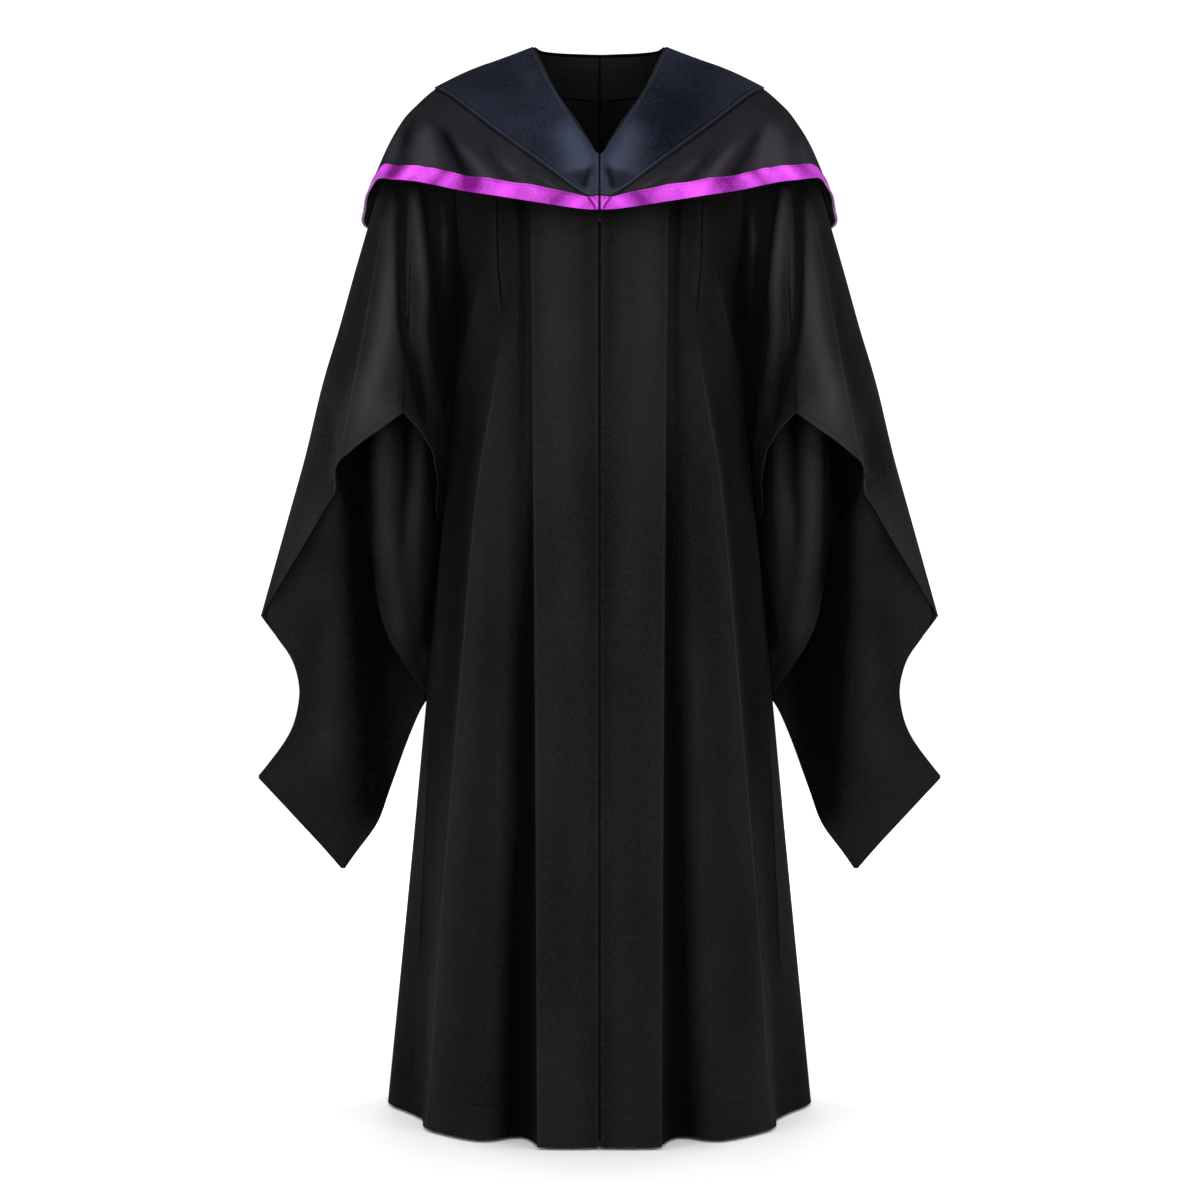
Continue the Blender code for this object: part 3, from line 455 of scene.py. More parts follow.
RIBBON_WAVES = (
    # pixels from the centre line, height and width in millimetres
    (20, 0.12, 7), (40, -0.14, 9), (66, 0.05, 9), (92, 0.18, 14), (126, -0.15, 15), (150, 0.1, 7),
    (160, -0.12, 5), (172, 0.06, 8), (190, 0.18, 6), (207, -0.16, 8), (222, 0.1, 6),
)
RIBBON_SLANT = 0.7  # how far a wave runs outwards for each metre that it runs down
# A wave paints sheen and shade into the ribbon's colour this many times more strongly than its height alone.
RIBBON_PAINTED_SHEEN = 16.0  # how much more a wave shows in the ribbon's sheen than its height does
# Painted highlights, and painted shade where the height is negative: how much lighter or darker the cloth's
# colour is painted than its creases alone paint it.
PAINTED_LIGHT_AND_SHADE = tables({
    "hood_shell": (
        ("soft folds", 2.6, 9, 7, 1, 0.4, 0, ((176, 124), (174, 146), (170, 172))),
        ("outer fold", 2, 3, 4, 0.8, 0.4, 0, ((198, 128), (204, 148), (207, 160))),
        ("over the shoulder", -1.6, 4, 8, 0.8, 0.3, 0.2, ((184, 112), (191, 132), (198, 150))),
        ("bright fold", 1.4, 3, 3, 0.8, 0.3, 0, ((139, 142), (124, 161), (106, 184))),
        ("under the collar", -0.3, 14, 14, 0.5, 0.2, 0.2, ((130, 130), (96, 156), (58, 186))),
    ),
    "collar": (
        ("upper part", -2.3, 60, 60, 0, 0, 0.45, ((110, 70), (60, 130), (24, 190))),
        ("near the point", 4.6, 9, 20, 0.1, 0.4, 0.1, ((42, 112), (27, 137), (17, 158), (14, 172))),
        ("neck", -1, 10, 12, 0, 0, 0.5, ((64, 50), (52, 80), (40, 108))),
        # Painted shade of a soft fold near the collar's point.
        ("shade of a soft fold", -3.2, 3, 3.5, 0.4, 0.4, 0.1, ((7, 160), (11, 173), (13, 190))),
        ("beside it", -1.8, 7, 8, 0, 0.4, 0.3, ((30, 168), (20, 179), (14, 190))),
        ("middle", 2.6, 2, 3, 0, 0.5, 0, ((5, 172), (8, 182), (9, 192))),
    ),
    "front_band": (
        ("beside the zip", -1.3, 8, 14, 0, 0, 0, ((4, 200), (4, 1148))),
        ("top", 1.6, 16, 14, 0, 0, 0.8, ((50, 200), (48, 560))),
    ),
    "front": (
        ("outside the ridge", -0.6, 0.5, 30, 0.6, 0.2, 0,
         ((107, 405), (124, 518), (139, 697), (158, 929), (172, 1130))),
        ("band", -2.6, 5, 7, 1.1, 0.4, 0, ((64, 300), (64, 560), (64, 800), (66, 1135))),
        ("panel", -1.3, 70, 70, 0, 0, 0, ((110, 190), (120, 640), (140, 1135))),
        ("side", -1.4, 16, 26, 0, 0.4, 0, ((160, 640), (178, 860), (192, 1110))),
        ("sleeve", -0.6, 26, 26, 0, 0, 0.4, ((112, 300), (132, 420), (136, 560))),
    ),
    "back": (
        ("in the neck", -2.4, 70, 70, 0, 0, 0.5, ((10, 90), (10, 230))),
        ("side", -2.2, 20, 26, 0.3, 0.1, 0, ((158, 560), (172, 800), (190, 1110))),
    ),
    "sleeve_front": (
        # Painted shadow of the cape on the top of the sleeve, and at its corner below.
        ("under the cape", -7, 7, 7, 0, 0, 0, ((240, 193), (215, 180), (192, 179), (167, 184), (140, 189))),
        ("folds", -2.6, 28, 16, 0, 0, 0.3, ((176, 190), (178, 300), (168, 430))),
        ("cape's corner", -8, 13, 13, 0, 0, 0, ((238, 206), (224, 200), (215, 192))),
        ("outer fold", 0.4, 3.5, 4, 3, 0.04, 0.3, (*OUTER_FOLD, (222, 368))),
        ("dark fold", -7.8, 6, 5.4, -0.5, 0.03, 0.15,
         ((198, 184), (199.5, 215), (200, 240), (200, 275), (198.5, 320), (194.5, 345), (186.5, 370),
          (182, 395), (174, 435))),
        ("lower fold", 3, 5, 7, 0, 0.3, 0.2, ((207, 350), (206, 376), (201, 404))),
        ("low middle fold", 5.5, 5, 5, 0, 0.3, 0.3, ((176, 345), (171, 375), (167, 400), (160, 425))),
        ("middle fold", 6.5, 3, 5, 0.2, 0.03, 0.2, (*MIDDLE_FOLD, (169, 405))),
        ("inner fold", -4.5, 6, 4, 0, 0, 0.3, ((166, 190), (164, 240), (162, 270), (160, 300))),
        ("its top", -4, 8, 8, 0, 0, 0.6, ((150, 190), (152, 215), (154, 245))),
        ("beside it", -6, 4.5, 3.5, 0.4, 0, 0.1, BESIDE_FOLD),
        ("outside the pressed line", -3.4, 7, 40, 0.8, 0.1, 0.4,
         ((209, 221), (217, 267), (227, 323), (240, 378), (257, 447), (300, 560))),
        ("on the flat part", 1.4, 8, 14, 0, 0.3, 0.3, ((244, 320), (256, 350), (262, 376))),
        ("low down", -0.8, 16, 26, 0, 0.15, 0.8, ((264, 362), (272, 400), (285, 460), (308, 560))),
        ("body", -7, 14, 6, 0.3, 0, 0, ((141, 190), (139, 323), (146, 420), (154, 540))),
    ),
    "sleeve_fall": (
        ("body", -5, 10, 6, 0.3, 0, 0.1, ((163, 400), (161, 540), (170, 610), (178, 660))),
        ("inner light", 4.6, 8, 9, 0, 0.3, 0.1, ((184, 470), (189, 540), (196, 600), (200, 640))),
        ("outer light", -1.4, 6, 6, 0, 0.2, 0.8, ((213, 430), (215, 480), (216, 540))),
        ("cloth", 1.3, 40, 16, 0, 0.2, 0.1, ((206, 440), (204, 560), (196, 670))),
        ("under the hem", -2.6, 30, 30, 0, 0, 0.9, ((200, 405), (196, 460))),
        ("edge", -5, 8, 5, 0.2, 0, 0.4, ((229, 440), (229, 545), (224, 640))),
    ),
    "sleeve_tail": (
        ("beside the fall", -4.4, 46, 22, 0, 0, 0.14,
         ((240, 480), (238, 520), (233, 620), (231, 680), (228, 720), (224, 850))),
        ("middle", -1.6, 22, 26, 0, 0.3, 0.4, ((274, 580), (280, 680), (274, 760))),
        ("cloth", -0.4, 90, 90, 0, 0, 0, ((270, 520), (270, 860))),
    ),
})
UNEVEN = 1.2  # pixels by which a crease lies differently on the two sides
UNEVEN_HEIGHT = 0.12  # the share by which its height differs
UNEVEN_STEPS = (2.4, 1.3)  # radians from one crease to the next and from side to side
TURN = 0.06  # depth over which the front's creases give way to the back's


def beside(places, line):
    """Signed distance from the line, positive outwards, and the share of the line passed."""
    line = np.array(line, float)
    steps = np.diff(line, axis=0)
    sizes = np.linalg.norm(steps, axis=1)
    begins = summed(sizes)
    best = np.full(places.shape[:-1], np.inf)
    signed, share = best.copy(), np.zeros_like(best)
    for k, (point, step, size) in enumerate(zip(line, steps, sizes)):
        offset = places - point
        along = np.clip((offset @ step) / size ** 2, 0.0, 1.0)
        away = np.linalg.norm(offset - along[..., None] * step, axis=-1)
        nearer = away < best
        side = np.where(offset[..., 0] * step[1] - offset[..., 1] * step[0] < 0, -1.0, 1.0)
        best = np.where(nearer, away, best)
        signed = np.where(nearer, away * side, signed)
        share = np.where(nearer, (begins[k] + along * size) / begins[-1], share)
    return signed, share


def fading(share, start, end):
    fade = ease(share / start) if start else np.ones_like(share)
    return fade * ease((1 - share) / end) if end else fade


def pressed(places, creases, side):
    """Height that the creases give each point, in metres. The two sides differ a little."""
    height = np.zeros(places.shape[:-1])
    next_one, next_side = UNEVEN_STEPS
    for k, crease in enumerate(creases):
        own = math.sin(next_one * k + next_side * side)
        away, share = beside(places, crease.line)
        width = np.where(away > 0, crease.outer, crease.inner) * MM * (1 + crease.spread * share)
        shape = np.exp(-((away + UNEVEN * own) * PIXEL / width) ** 2)
        fade = fading(share, crease.start, crease.end)
        height += crease.height * MM * (1 + UNEVEN_HEIGHT * own) * shape * fade
    return height


def at_rear(grid):
    """1 on the back half of a sheet that goes round the neck, 0 on its front half."""
    return ease(grid[..., 1] / TURN + 0.5)


def relief(piece, grid, side):
    """Height of all that is pressed or folded into the sheet, and the painted highlights and shade laid into
    its colour besides.
    """
    places = seen(grid)
    height = pressed(places, CREASES.get(piece, ()), side)
    painted_shading = pressed(places, PAINTED_LIGHT_AND_SHADE.get(piece, ()), side)
    if piece in HOOD:
        rear = at_rear(grid)
        height = height * (1 - rear) + pressed(places, CREASES["hood_back"], side) * rear
        painted_shading *= 1 - rear
    if piece == "ribbon":
        down = from_edge(grid, "top")
        along = places[..., 0] * PIXEL - RIBBON_SLANT * (down - down[-1:] / 2)
        waves = sum(
            crest * MM * np.exp(-((along - middle * PIXEL) / (width * MM)) ** 2)
            for middle, crest, width in RIBBON_WAVES
        )
        height += waves
        # The waves also paint sheen and shade into the ribbon's colour.
        painted_shading += waves * RIBBON_PAINTED_SHEEN
    return height, painted_shading


# ---- seams, pressed lines, and lines of painted shade and painted highlight, drawn by the materials ----
# A line is a crease's line, or an edge of the sheet with the distance from it in millimetres and
# the rows between which it runs. Its depth is negative where the line stands up.
# The material draws a line darker where its depth is positive, as a seam's dark joint or as painted shade in
# a pleat or under an edge, and lighter where the line stands up, as a painted highlight.
ALL_ROWS = (-1000, 3000)
Line = namedtuple("Line", "depth start end line")
Along = namedtuple("Along", "depth edge distance rows", defaults=[ALL_ROWS])
LINES = {
    # A dark groove just below the collar's outer edge, a painted shadow of that edge.
    "hood_shell": (Line(1.0, 0, 0, ((14, 197), (104.5, 132), (149, 98), (163, 90))),),
    "collar": (
        # The lines that stand up along its rolled edges are painted lighter, as highlights.
        Along(-0.7, "bottom", 0.9), Along(-0.5, "top", 0.9),
        Along(-0.6, "first", 1.2), Along(0.5, "bottom", 3.0),
    ),
    "ribbon": (
        Along(0.35, "top", 1.6), Along(-0.9, "first", 1.4),
        Line(1.3, 0, 0, ((17, 189), (4, 208))), Line(-0.9, 0, 0, ((13.5, 188), (2.2, 206))),
    ),
    "front_band": (Along(0.3, "bottom", 36), Along(-0.25, "first", 1.2), Along(-0.4, "last", 1.2)),
    "front": (
        Line(1.0, 0, 0.15, ((102, 180), (100.5, 263), (96.5, 315))),
        Line(-0.7, 0.3, 0.3, ((112, 262), (126, 323), (136.5, 372), (143, 420))),
        Along(0.35, "bottom", 36),
        Line(-1.1, 0.1, 0, LONG_RIDGE[1:]),
    ),
    "back": (Along(0.5, "bottom", 36), Along(1.0, "first", 0.3)),
    "yoke": (Along(1.0, "last", 0.4), Line(1.2, 0, 0, ((0, 101.5), (22, 100.5), (48, 97)))),
    "sleeve_front": (
        Line(0.9, 0.7, 0, ((188.5, 190), (189.5, 272), (190.5, 313), (196.5, 403), (196.5, 414))),
        Line(-0.8, 0.2, 0, PRESSED_LINE),
        Along(0.3, "bottom", 7),
    ),
    "sleeve_back": (Along(0.2, "last", 7, (616, 900)),),
    "sleeve_fall": (Along(0.2, "last", 6, (580, 900)),),
    "sleeve_tail": (Along(0.2, "last", 7),),
}
LINE_COUNT = 4
LINE_WIDTH = 0.0010
ROW_FADE = 6  # rows over which a line along an edge starts and ends
FAR = 1.0  # distance of a line that isn't there


def line_map(grid, line, front_only):
    """Signed distance from the line in metres, and its strength, for each point."""
    places = seen(grid)
    if line is None:
        return np.stack([np.full(places.shape[:-1], FAR), np.zeros(places.shape[:-1])], axis=-1)
    if isinstance(line, Along):
        low, high = line.rows
        rows = places[..., 1]
        strength = line.depth * ease((rows - low) / ROW_FADE) * ease((high - rows) / ROW_FADE)
        return np.stack([from_edge(grid, line.edge) - line.distance * MM, strength], axis=-1)
    away, share = beside(places, line.line)
    strength = line.depth * fading(share, line.start, line.end)
    if front_only:
        strength *= 1 - at_rear(grid)
    return np.stack([away * PIXEL, strength], axis=-1)


# ---- meshes ----
THICKNESS = {"hood_shell": 0.9, "collar": 1.0, "ribbon": 0.7}
CLOTH = 1.0  # millimetres, where the list above has no other thickness
RIM_TURNS = np.radians([25, 60, 90, 120, 155])  # where a rounded rim has points, from face to face


def rim_of(rows, columns):
    """Row and column of each point on the grid's border, in order."""
    top = [(0, j) for j in range(columns)]
    last = [(i, columns - 1) for i in range(1, rows)]
    bottom = [(rows - 1, j) for j in range(columns - 2, -1, -1)]
    first = [(i, 0) for i in range(rows - 2, 0, -1)]
    return np.array(top + last + bottom + first)


def rim_edges(rim, rows, columns):
    """Each edge's name, the step inwards from it, and which points of the rim are on it."""
    i, j = rim.T
    return (
        ("top", (1, 0), i == 0), ("bottom", (-1, 0), i == rows - 1),
        ("first", (0, 1), j == 0), ("last", (0, -1), j == columns - 1),
    )


def rim_directions(grid, normal, rim):
    """Directions out of the sheet along its border, square to its normals."""
    i, j = rim.T
    inward = np.zeros((len(rim), 3))
    for _, (down, across), on in rim_edges(rim, *grid.shape[:2]):
        inward[on] += unit(grid[i[on] + down, j[on] + across] - grid[i[on], j[on]])
    square = normal[i, j]
    return unit(-inward + square * (inward * square).sum(axis=1, keepdims=True))


def mesh_of(name, points, faces):
    mesh = bpy.data.meshes.new(name)
    mesh.from_pydata(points.tolist(), [], faces.tolist())
    return mesh


def finish_mesh(mesh):
    """Turns the faces outwards and makes them smooth."""
    shape = bmesh.new()
    shape.from_mesh(mesh)
    bmesh.ops.recalc_face_normals(shape, faces=shape.faces)
    for face in shape.faces:
        face.smooth = True
    shape.to_mesh(mesh)
    shape.free()
    mesh.update()
    return mesh


def shell_mesh(name, grid, normal, side, thickness, beads, maps):
    """Closed mesh of a sheet, its rim rounded or rolled to the radius that beads gives each edge."""
    rows, columns = grid.shape[:2]
    count = rows * columns
    index = np.arange(count).reshape(rows, columns)
    rim = rim_of(rows, columns)
    border = index[rim[:, 0], rim[:, 1]]
    radius = np.full(len(rim), thickness / 2)
    for edge, _, on in rim_edges(rim, rows, columns):
        radius[on] = np.maximum(radius[on], beads.get(edge, 0.0) * MM)
    out = rim_directions(grid, normal, rim)
    centre, square = grid[rim[:, 0], rim[:, 1]], normal[rim[:, 0], rim[:, 1]]
    rings = [
        centre + radius[:, None] * (math.cos(turn) * square + math.sin(turn) * out) for turn in RIM_TURNS
    ]
    flat, up = grid.reshape(-1, 3), normal.reshape(-1, 3) * thickness / 2
    points = np.concatenate([flat + up, flat - up] + rings) * (side, 1.0, 1.0)
    source = np.concatenate([np.arange(count)] * 2 + [border] * len(rings))
    quads = [index[:-1, :-1], index[:-1, 1:], index[1:, 1:], index[1:, :-1]]
    quads = np.stack(quads, axis=-1).reshape(-1, 4)
    faces = [quads, quads[:, ::-1] + count]
    chain = [border] + [2 * count + k * len(border) + np.arange(len(border)) for k in range(len(rings))]
    chain.append(border + count)
    for above, below in zip(chain, chain[1:]):
        after, under = np.roll(above, -1), np.roll(below, -1)
        faces.append(np.stack([above, below, under, after], axis=-1))
    mesh = mesh_of(name, points, np.concatenate(faces))
    corners = np.zeros(len(mesh.loops), dtype=np.int32)
    mesh.loops.foreach_get("vertex_index", corners)
    for key, values in maps.items():
        layer = mesh.uv_layers.new(name=key)
        layer.data.foreach_set("uv", values.reshape(-1, 2)[source[corners]].ravel())
    inner = np.zeros(len(mesh.polygons), dtype=np.int32)
    inner[len(quads):2 * len(quads)] = 1
    mesh.polygons.foreach_set("material_index", inner)
    return finish_mesh(mesh)


def added(name, data):
    """A new object of the scene."""
    item = bpy.data.objects.new(name, data)
    bpy.context.scene.collection.objects.link(item)
    return item


def place(mesh, material, inside=None):
    """A mesh as a piece of the gown."""
    mesh.materials.append(material)
    mesh.materials.append(inside or material)
    piece = added(mesh.name, mesh)
    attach(piece, "gown")
    return piece


BEAD_POINTS = np.array([(1, 0, 0), (0, 1, 0), (0, 0, 1), (0, -1, 0), (0, 0, -1), (-1, 0, 0)], float)
BEAD_FACES = np.array(
    [(0, 1, 2), (0, 2, 3), (0, 3, 4), (0, 4, 1), (5, 2, 1), (5, 3, 2), (5, 4, 3), (5, 1, 4)]
)


def beads_mesh(name, spots, side=1):
    """Many small pointed beads in one mesh: each spot is a bead's middle and its three half axes."""
    points = [middle + BEAD_POINTS @ np.array(axes) for middle, *axes in spots]
    faces = [BEAD_FACES + len(BEAD_POINTS) * k for k in range(len(spots))]
    return finish_mesh(mesh_of(name, np.concatenate(points) * (side, 1.0, 1.0), np.concatenate(faces)))


# ---- stitches ----
STITCH_PITCH = 0.0032
STITCH_HALF = 0.00115  # half a stitch's length
THREAD_HALF = 0.00024
SHEET_SHARE = 2.5  # no stitches where the sheet is narrower than so many distances from its edge
STITCHED = {
    # edge, distance from it in millimetres, and the rows between which they run
    "ribbon": (("top", 1.6), ("bottom", 1.4)),
    **dict.fromkeys(("front_band", "front", "back"), (("bottom", 36),)),
    "sleeve_front": (("bottom", 7),),
    "sleeve_back": (("last", 7, (620, 900)),),
    "sleeve_fall": (("last", 6, (584, 900)),),
    "sleeve_tail": (("last", 7),),
}


def line_on_sheet(grid, normal, edge, distance, rows=ALL_ROWS):
    """Points and normals of the line at a distance from one edge of the sheet."""
    away = from_edge(grid, edge)
    if edge in ("first", "last"):
        away, grid, normal = away.T, grid.swapaxes(0, 1), normal.swapaxes(0, 1)
    points = []
    for k in range(grid.shape[1]):
        order = np.argsort(away[:, k])
        if away[order[-1], k] < SHEET_SHARE * distance * MM:
            continue
        both = [at_length(distance * MM, away[order, k], field[order, k]) for field in (grid, normal)]
        row = seen(both[0])[1]
        if rows[0] < row < rows[1]:
            points.append(both)
    return np.array(points)


def stitches(grid, normal, lines, lift):
    """A bead for each stitch of these lines, lifted to the cloth's face."""
    spots = []
    for line in lines:
        found = line_on_sheet(grid, normal, *line)
        if len(found) < 2:
            continue
        track, up = found[:, 0], found[:, 1]
        begins = summed(np.linalg.norm(np.diff(track, axis=0), axis=1))
        for at in np.arange(STITCH_PITCH, begins[-1] - STITCH_PITCH, STITCH_PITCH):
            before, middle, after = (
                at_length(at + shift, begins, track) for shift in (-STITCH_HALF, 0.0, STITCH_HALF)
            )
            square = unit(at_length(at, begins, up))
            along = (after - before) / 2
            across = unit(np.cross(square, along)) * THREAD_HALF
            spots.append((middle + square * lift, along, across, square * THREAD_HALF))
    return spots


# ---- materials ----
class Tree:
    """Short hand for building one material's nodes."""

    def __init__(self, name):
        self.material = bpy.data.materials.new(name)
        self.material.use_nodes = True
        self.tree = self.material.node_tree
        self.shader = next(node for node in self.tree.nodes if node.type == "BSDF_PRINCIPLED")

    def add(self, kind, *inputs, named=None, **settings):
        node = self.tree.nodes.new("ShaderNode" + kind)
        for key, value in settings.items():
            setattr(node, key, value)
        for socket, value in zip(node.inputs, inputs):
            self.feed(socket, value)
        for key, value in (named or {}).items():
            self.feed(node.inputs[key], value)
        return node

    def feed(self, socket, value):
        if isinstance(value, bpy.types.Node):
            value = value.outputs[0]
        if isinstance(value, bpy.types.NodeSocket):
            self.tree.links.new(value, socket)
        elif value is not None:
            socket.default_value = value

    def math(self, operation, a, b=None):
        return self.add("Math", a, b, operation=operation)

    def noise(self, scale, detail=2.0, stretch=(1.0, 1.0, 1.0)):
        mapped = self.add("Mapping", self.add("TexCoord").outputs["Object"], named={"Scale": stretch})
        return self.add("TexNoise", mapped, named={"Scale": scale, "Detail": detail}).outputs["Fac"]

    def blend(self, share, dark, light):
        colours = {0: share, 6: (*dark, 1.0), 7: (*light, 1.0)}  # the sockets of a mix of colours
        return self.add("Mix", named=colours, data_type="RGBA").outputs[2]

    def spread(self, value, low, high, new_low, new_high):
        return self.add("MapRange", value, low, high, new_low, new_high)

    def uneven(self, noise, new_low, new_high):
        """A noise's usual range spread to these values."""
        return self.spread(noise, 0.3, 0.7, new_low, new_high)

    def finish(self, colour, roughness, normal, **fixed):
        """Joins these to the shader, and sets its other inputs, named with _ for each space."""
        self.feed(self.shader.inputs["Base Color"], colour)
        self.feed(self.shader.inputs["Roughness"], roughness)
        self.feed(self.shader.inputs["Normal"], normal)
        for key, value in fixed.items():
            self.shader.inputs[key.replace("_", " ")].default_value = value
        return self.material

    def threads(self, pitch, diagonal):
        """Height of the weave: plain squares, or a diagonal twill."""
        turns = {"Scale": 2 * math.pi / pitch}
        scaled = self.add("VectorMath", self.add("UVMap", uv_map="cloth"), named=turns, operation="SCALE")
        split = self.add("SeparateXYZ", scaled)
        across, down = split.outputs["X"], split.outputs["Y"]
        if diagonal:
            return self.math("SINE", self.math("ADD", across, down))
        return self.math("MULTIPLY", self.math("SINE", across), self.math("SINE", down))

    def lines(self):
        """Sum of the seams and pressed lines: 1 in a seam, negative on a line that stands up."""
        total = None
        for k in range(LINE_COUNT):
            split = self.add("SeparateXYZ", self.add("UVMap", uv_map=f"line_{k}"))
            share = self.math("DIVIDE", split.outputs["X"], LINE_WIDTH)
            shape = self.math("EXPONENT", self.math("MULTIPLY", self.math("MULTIPLY", share, share), -1.0))
            one = self.math("MULTIPLY", shape, split.outputs["Y"])
            total = one if total is None else self.math("ADD", total, one)
        return total

    def bump(self, height, distance, strength, under=None):
        sockets = {"Strength": strength, "Distance": distance, "Height": height, "Normal": under}
        return self.add("Bump", named=sockets)


Weave = namedtuple("Weave", "pitch depth diagonal")
SHEEN = 0.005
CLOUD = 0.13  # how much lighter and darker the cloth's soft mottling is
GRAIN = 0.14  # the same of its fine grain
GRAIN_SCALE = 480.0
# Along a line, the share below paints a seam darker as its dark joint, a line of painted shade darker, and a
# raised line lighter as a painted highlight.
LINE_SHADE_AND_HIGHLIGHT = 0.45  # how much darker a seam is, and how deep
SEAM_DEPTH = 0.0008
CRUMPLE_SCALE = 55.0
CRUMPLE_DEPTH = 0.0003
ROUGH_SCALE = 150.0  # scale of the roughness's unevenness
DULL_BELOW = 0.4  # share of the light colour below which a cloth goes dull


def fabric(name, dark, light, shading_gain, roughness, specular, weave, cloud=9.0, dulled=0.0):
    """Woven cloth: painted darker in its troughs, its painted shade and its seams, and lighter on its ridges
    and painted highlights, rougher where painted darkest, mottled, with threads and a soft sheen.
    """
    tree = Tree(name)
    lines = tree.lines()
    relief = tree.add("SeparateXYZ", tree.add("UVMap", uv_map="relief")).outputs["X"]
    cloudy = tree.uneven(tree.noise(cloud, 3.0, (1.0, 1.0, 0.45)), -CLOUD, CLOUD)
    grain = tree.uneven(tree.noise(GRAIN_SCALE), -GRAIN, GRAIN)
    # The relief map paints the colour: towards the dark colour as painted shade, towards the light one as
    # painted highlight.
    share = tree.math("ADD", tree.math("MULTIPLY", relief, shading_gain), 0.5)
    share = tree.math("ADD", share, tree.math("ADD", cloudy, grain))
    # Seams and lines of painted shade are drawn darker, raised lines lighter as painted highlights.
    share = tree.math("SUBTRACT", share, tree.math("MULTIPLY", lines, LINE_SHADE_AND_HIGHLIGHT))
    rough = tree.uneven(tree.noise(ROUGH_SCALE, 3.0), roughness - 0.04, roughness + 0.05)
    rough = tree.math("ADD", rough, tree.spread(share, 0.0, DULL_BELOW, dulled, 0.0))
    woven = tree.bump(tree.threads(weave.pitch, weave.diagonal), weave.depth, 0.6)
    crumpled = tree.bump(tree.noise(CRUMPLE_SCALE, 2.0, (1.0, 1.0, 0.5)), CRUMPLE_DEPTH, 0.3, woven)
    seamed = tree.bump(tree.math("MULTIPLY", lines, -1.0), SEAM_DEPTH, 1.0, crumpled)
    return tree.finish(tree.blend(share, dark, light), rough, seamed,
                       Specular_IOR_Level=specular, Sheen_Weight=SHEEN, Sheen_Roughness=0.5)


def plain(name, dark, light, roughness, specular, scale):
    """Thread, coil or enamel: one colour, a little uneven."""
    tree = Tree(name)
    grain = tree.noise(scale, 3.0)
    colour = tree.blend(tree.uneven(grain, 0.0, 1.0), dark, light)
    rough = tree.uneven(grain, roughness - 0.05, roughness + 0.05)
    return tree.finish(colour, rough, tree.bump(grain, 0.0001, 0.3), Specular_IOR_Level=specular)


def make_materials():
    suiting = Weave(0.0006, 0.00008, False)
    satin = Weave(0.0005, 0.00004, False)
    twill = Weave(0.0011, 0.00010, True)
    cloths = (
        # name, dark and light colour, which painted shade and painted highlights reach, gain of the painted
        # shading, roughness, specular, weave, scale of the mottling, dulled
        ("gown_cloth", (0.0009, 0.0009, 0.0009), (0.0131, 0.0131, 0.0134), 0.13, 0.80, 0.015, suiting),
        ("sleeve_cloth", (0.0006, 0.0006, 0.0006), (0.012, 0.0117, 0.0126), 0.13, 0.42, 0.11, satin, 9.0,
         0.45),
        ("hood_satin", (0.0015, 0.0013, 0.0017), (0.0200, 0.0180, 0.0235), 0.16, 0.34, 0.26, satin),
        ("collar_satin", (0.0028, 0.0033, 0.0062), (0.0285, 0.0345, 0.0590), 0.14, 0.38, 0.18, twill),
        ("ribbon_satin", (0.10, 0.001, 0.11), (0.47, 0.050, 0.53), 0.16, 0.34, 0.16, satin, 30.0),
    )
    others = (
        # name, dark and light colour, roughness, specular, scale of the unevenness
        # The cape's lining is real, but made near black so that it also paints the shade inside the cape.
        ("shaded_hood_lining", (0.0006, 0.0006, 0.0007), (0.0014, 0.0014, 0.0016), 0.9, 0.02, 120.0),
        ("gown_thread", (0.008, 0.008, 0.008), (0.014, 0.014, 0.015), 0.6, 0.1, 900.0),
        ("ribbon_thread", (0.30, 0.02, 0.36), (0.40, 0.03, 0.47), 0.5, 0.3, 900.0),
        ("zip_coil", (0.0004, 0.0004, 0.0004), (0.0010, 0.0010, 0.0010), 0.6, 0.03, 900.0),
        ("zip_enamel", (0.002, 0.002, 0.002), (0.006, 0.006, 0.006), 0.22, 0.5, 300.0),
    )
    made = {settings[0]: fabric(*settings) for settings in cloths}
    made.update({settings[0]: plain(*settings) for settings in others})
    return made


# ---- the cloth pieces ----
TO_FRONT = (0.0, -1.0, 0.0)
TO_BACK = (0.0, 1.0, 0.0)
UNDER_FACE = 0.00005  # a finished sheet lies this far inside its solid's outer face
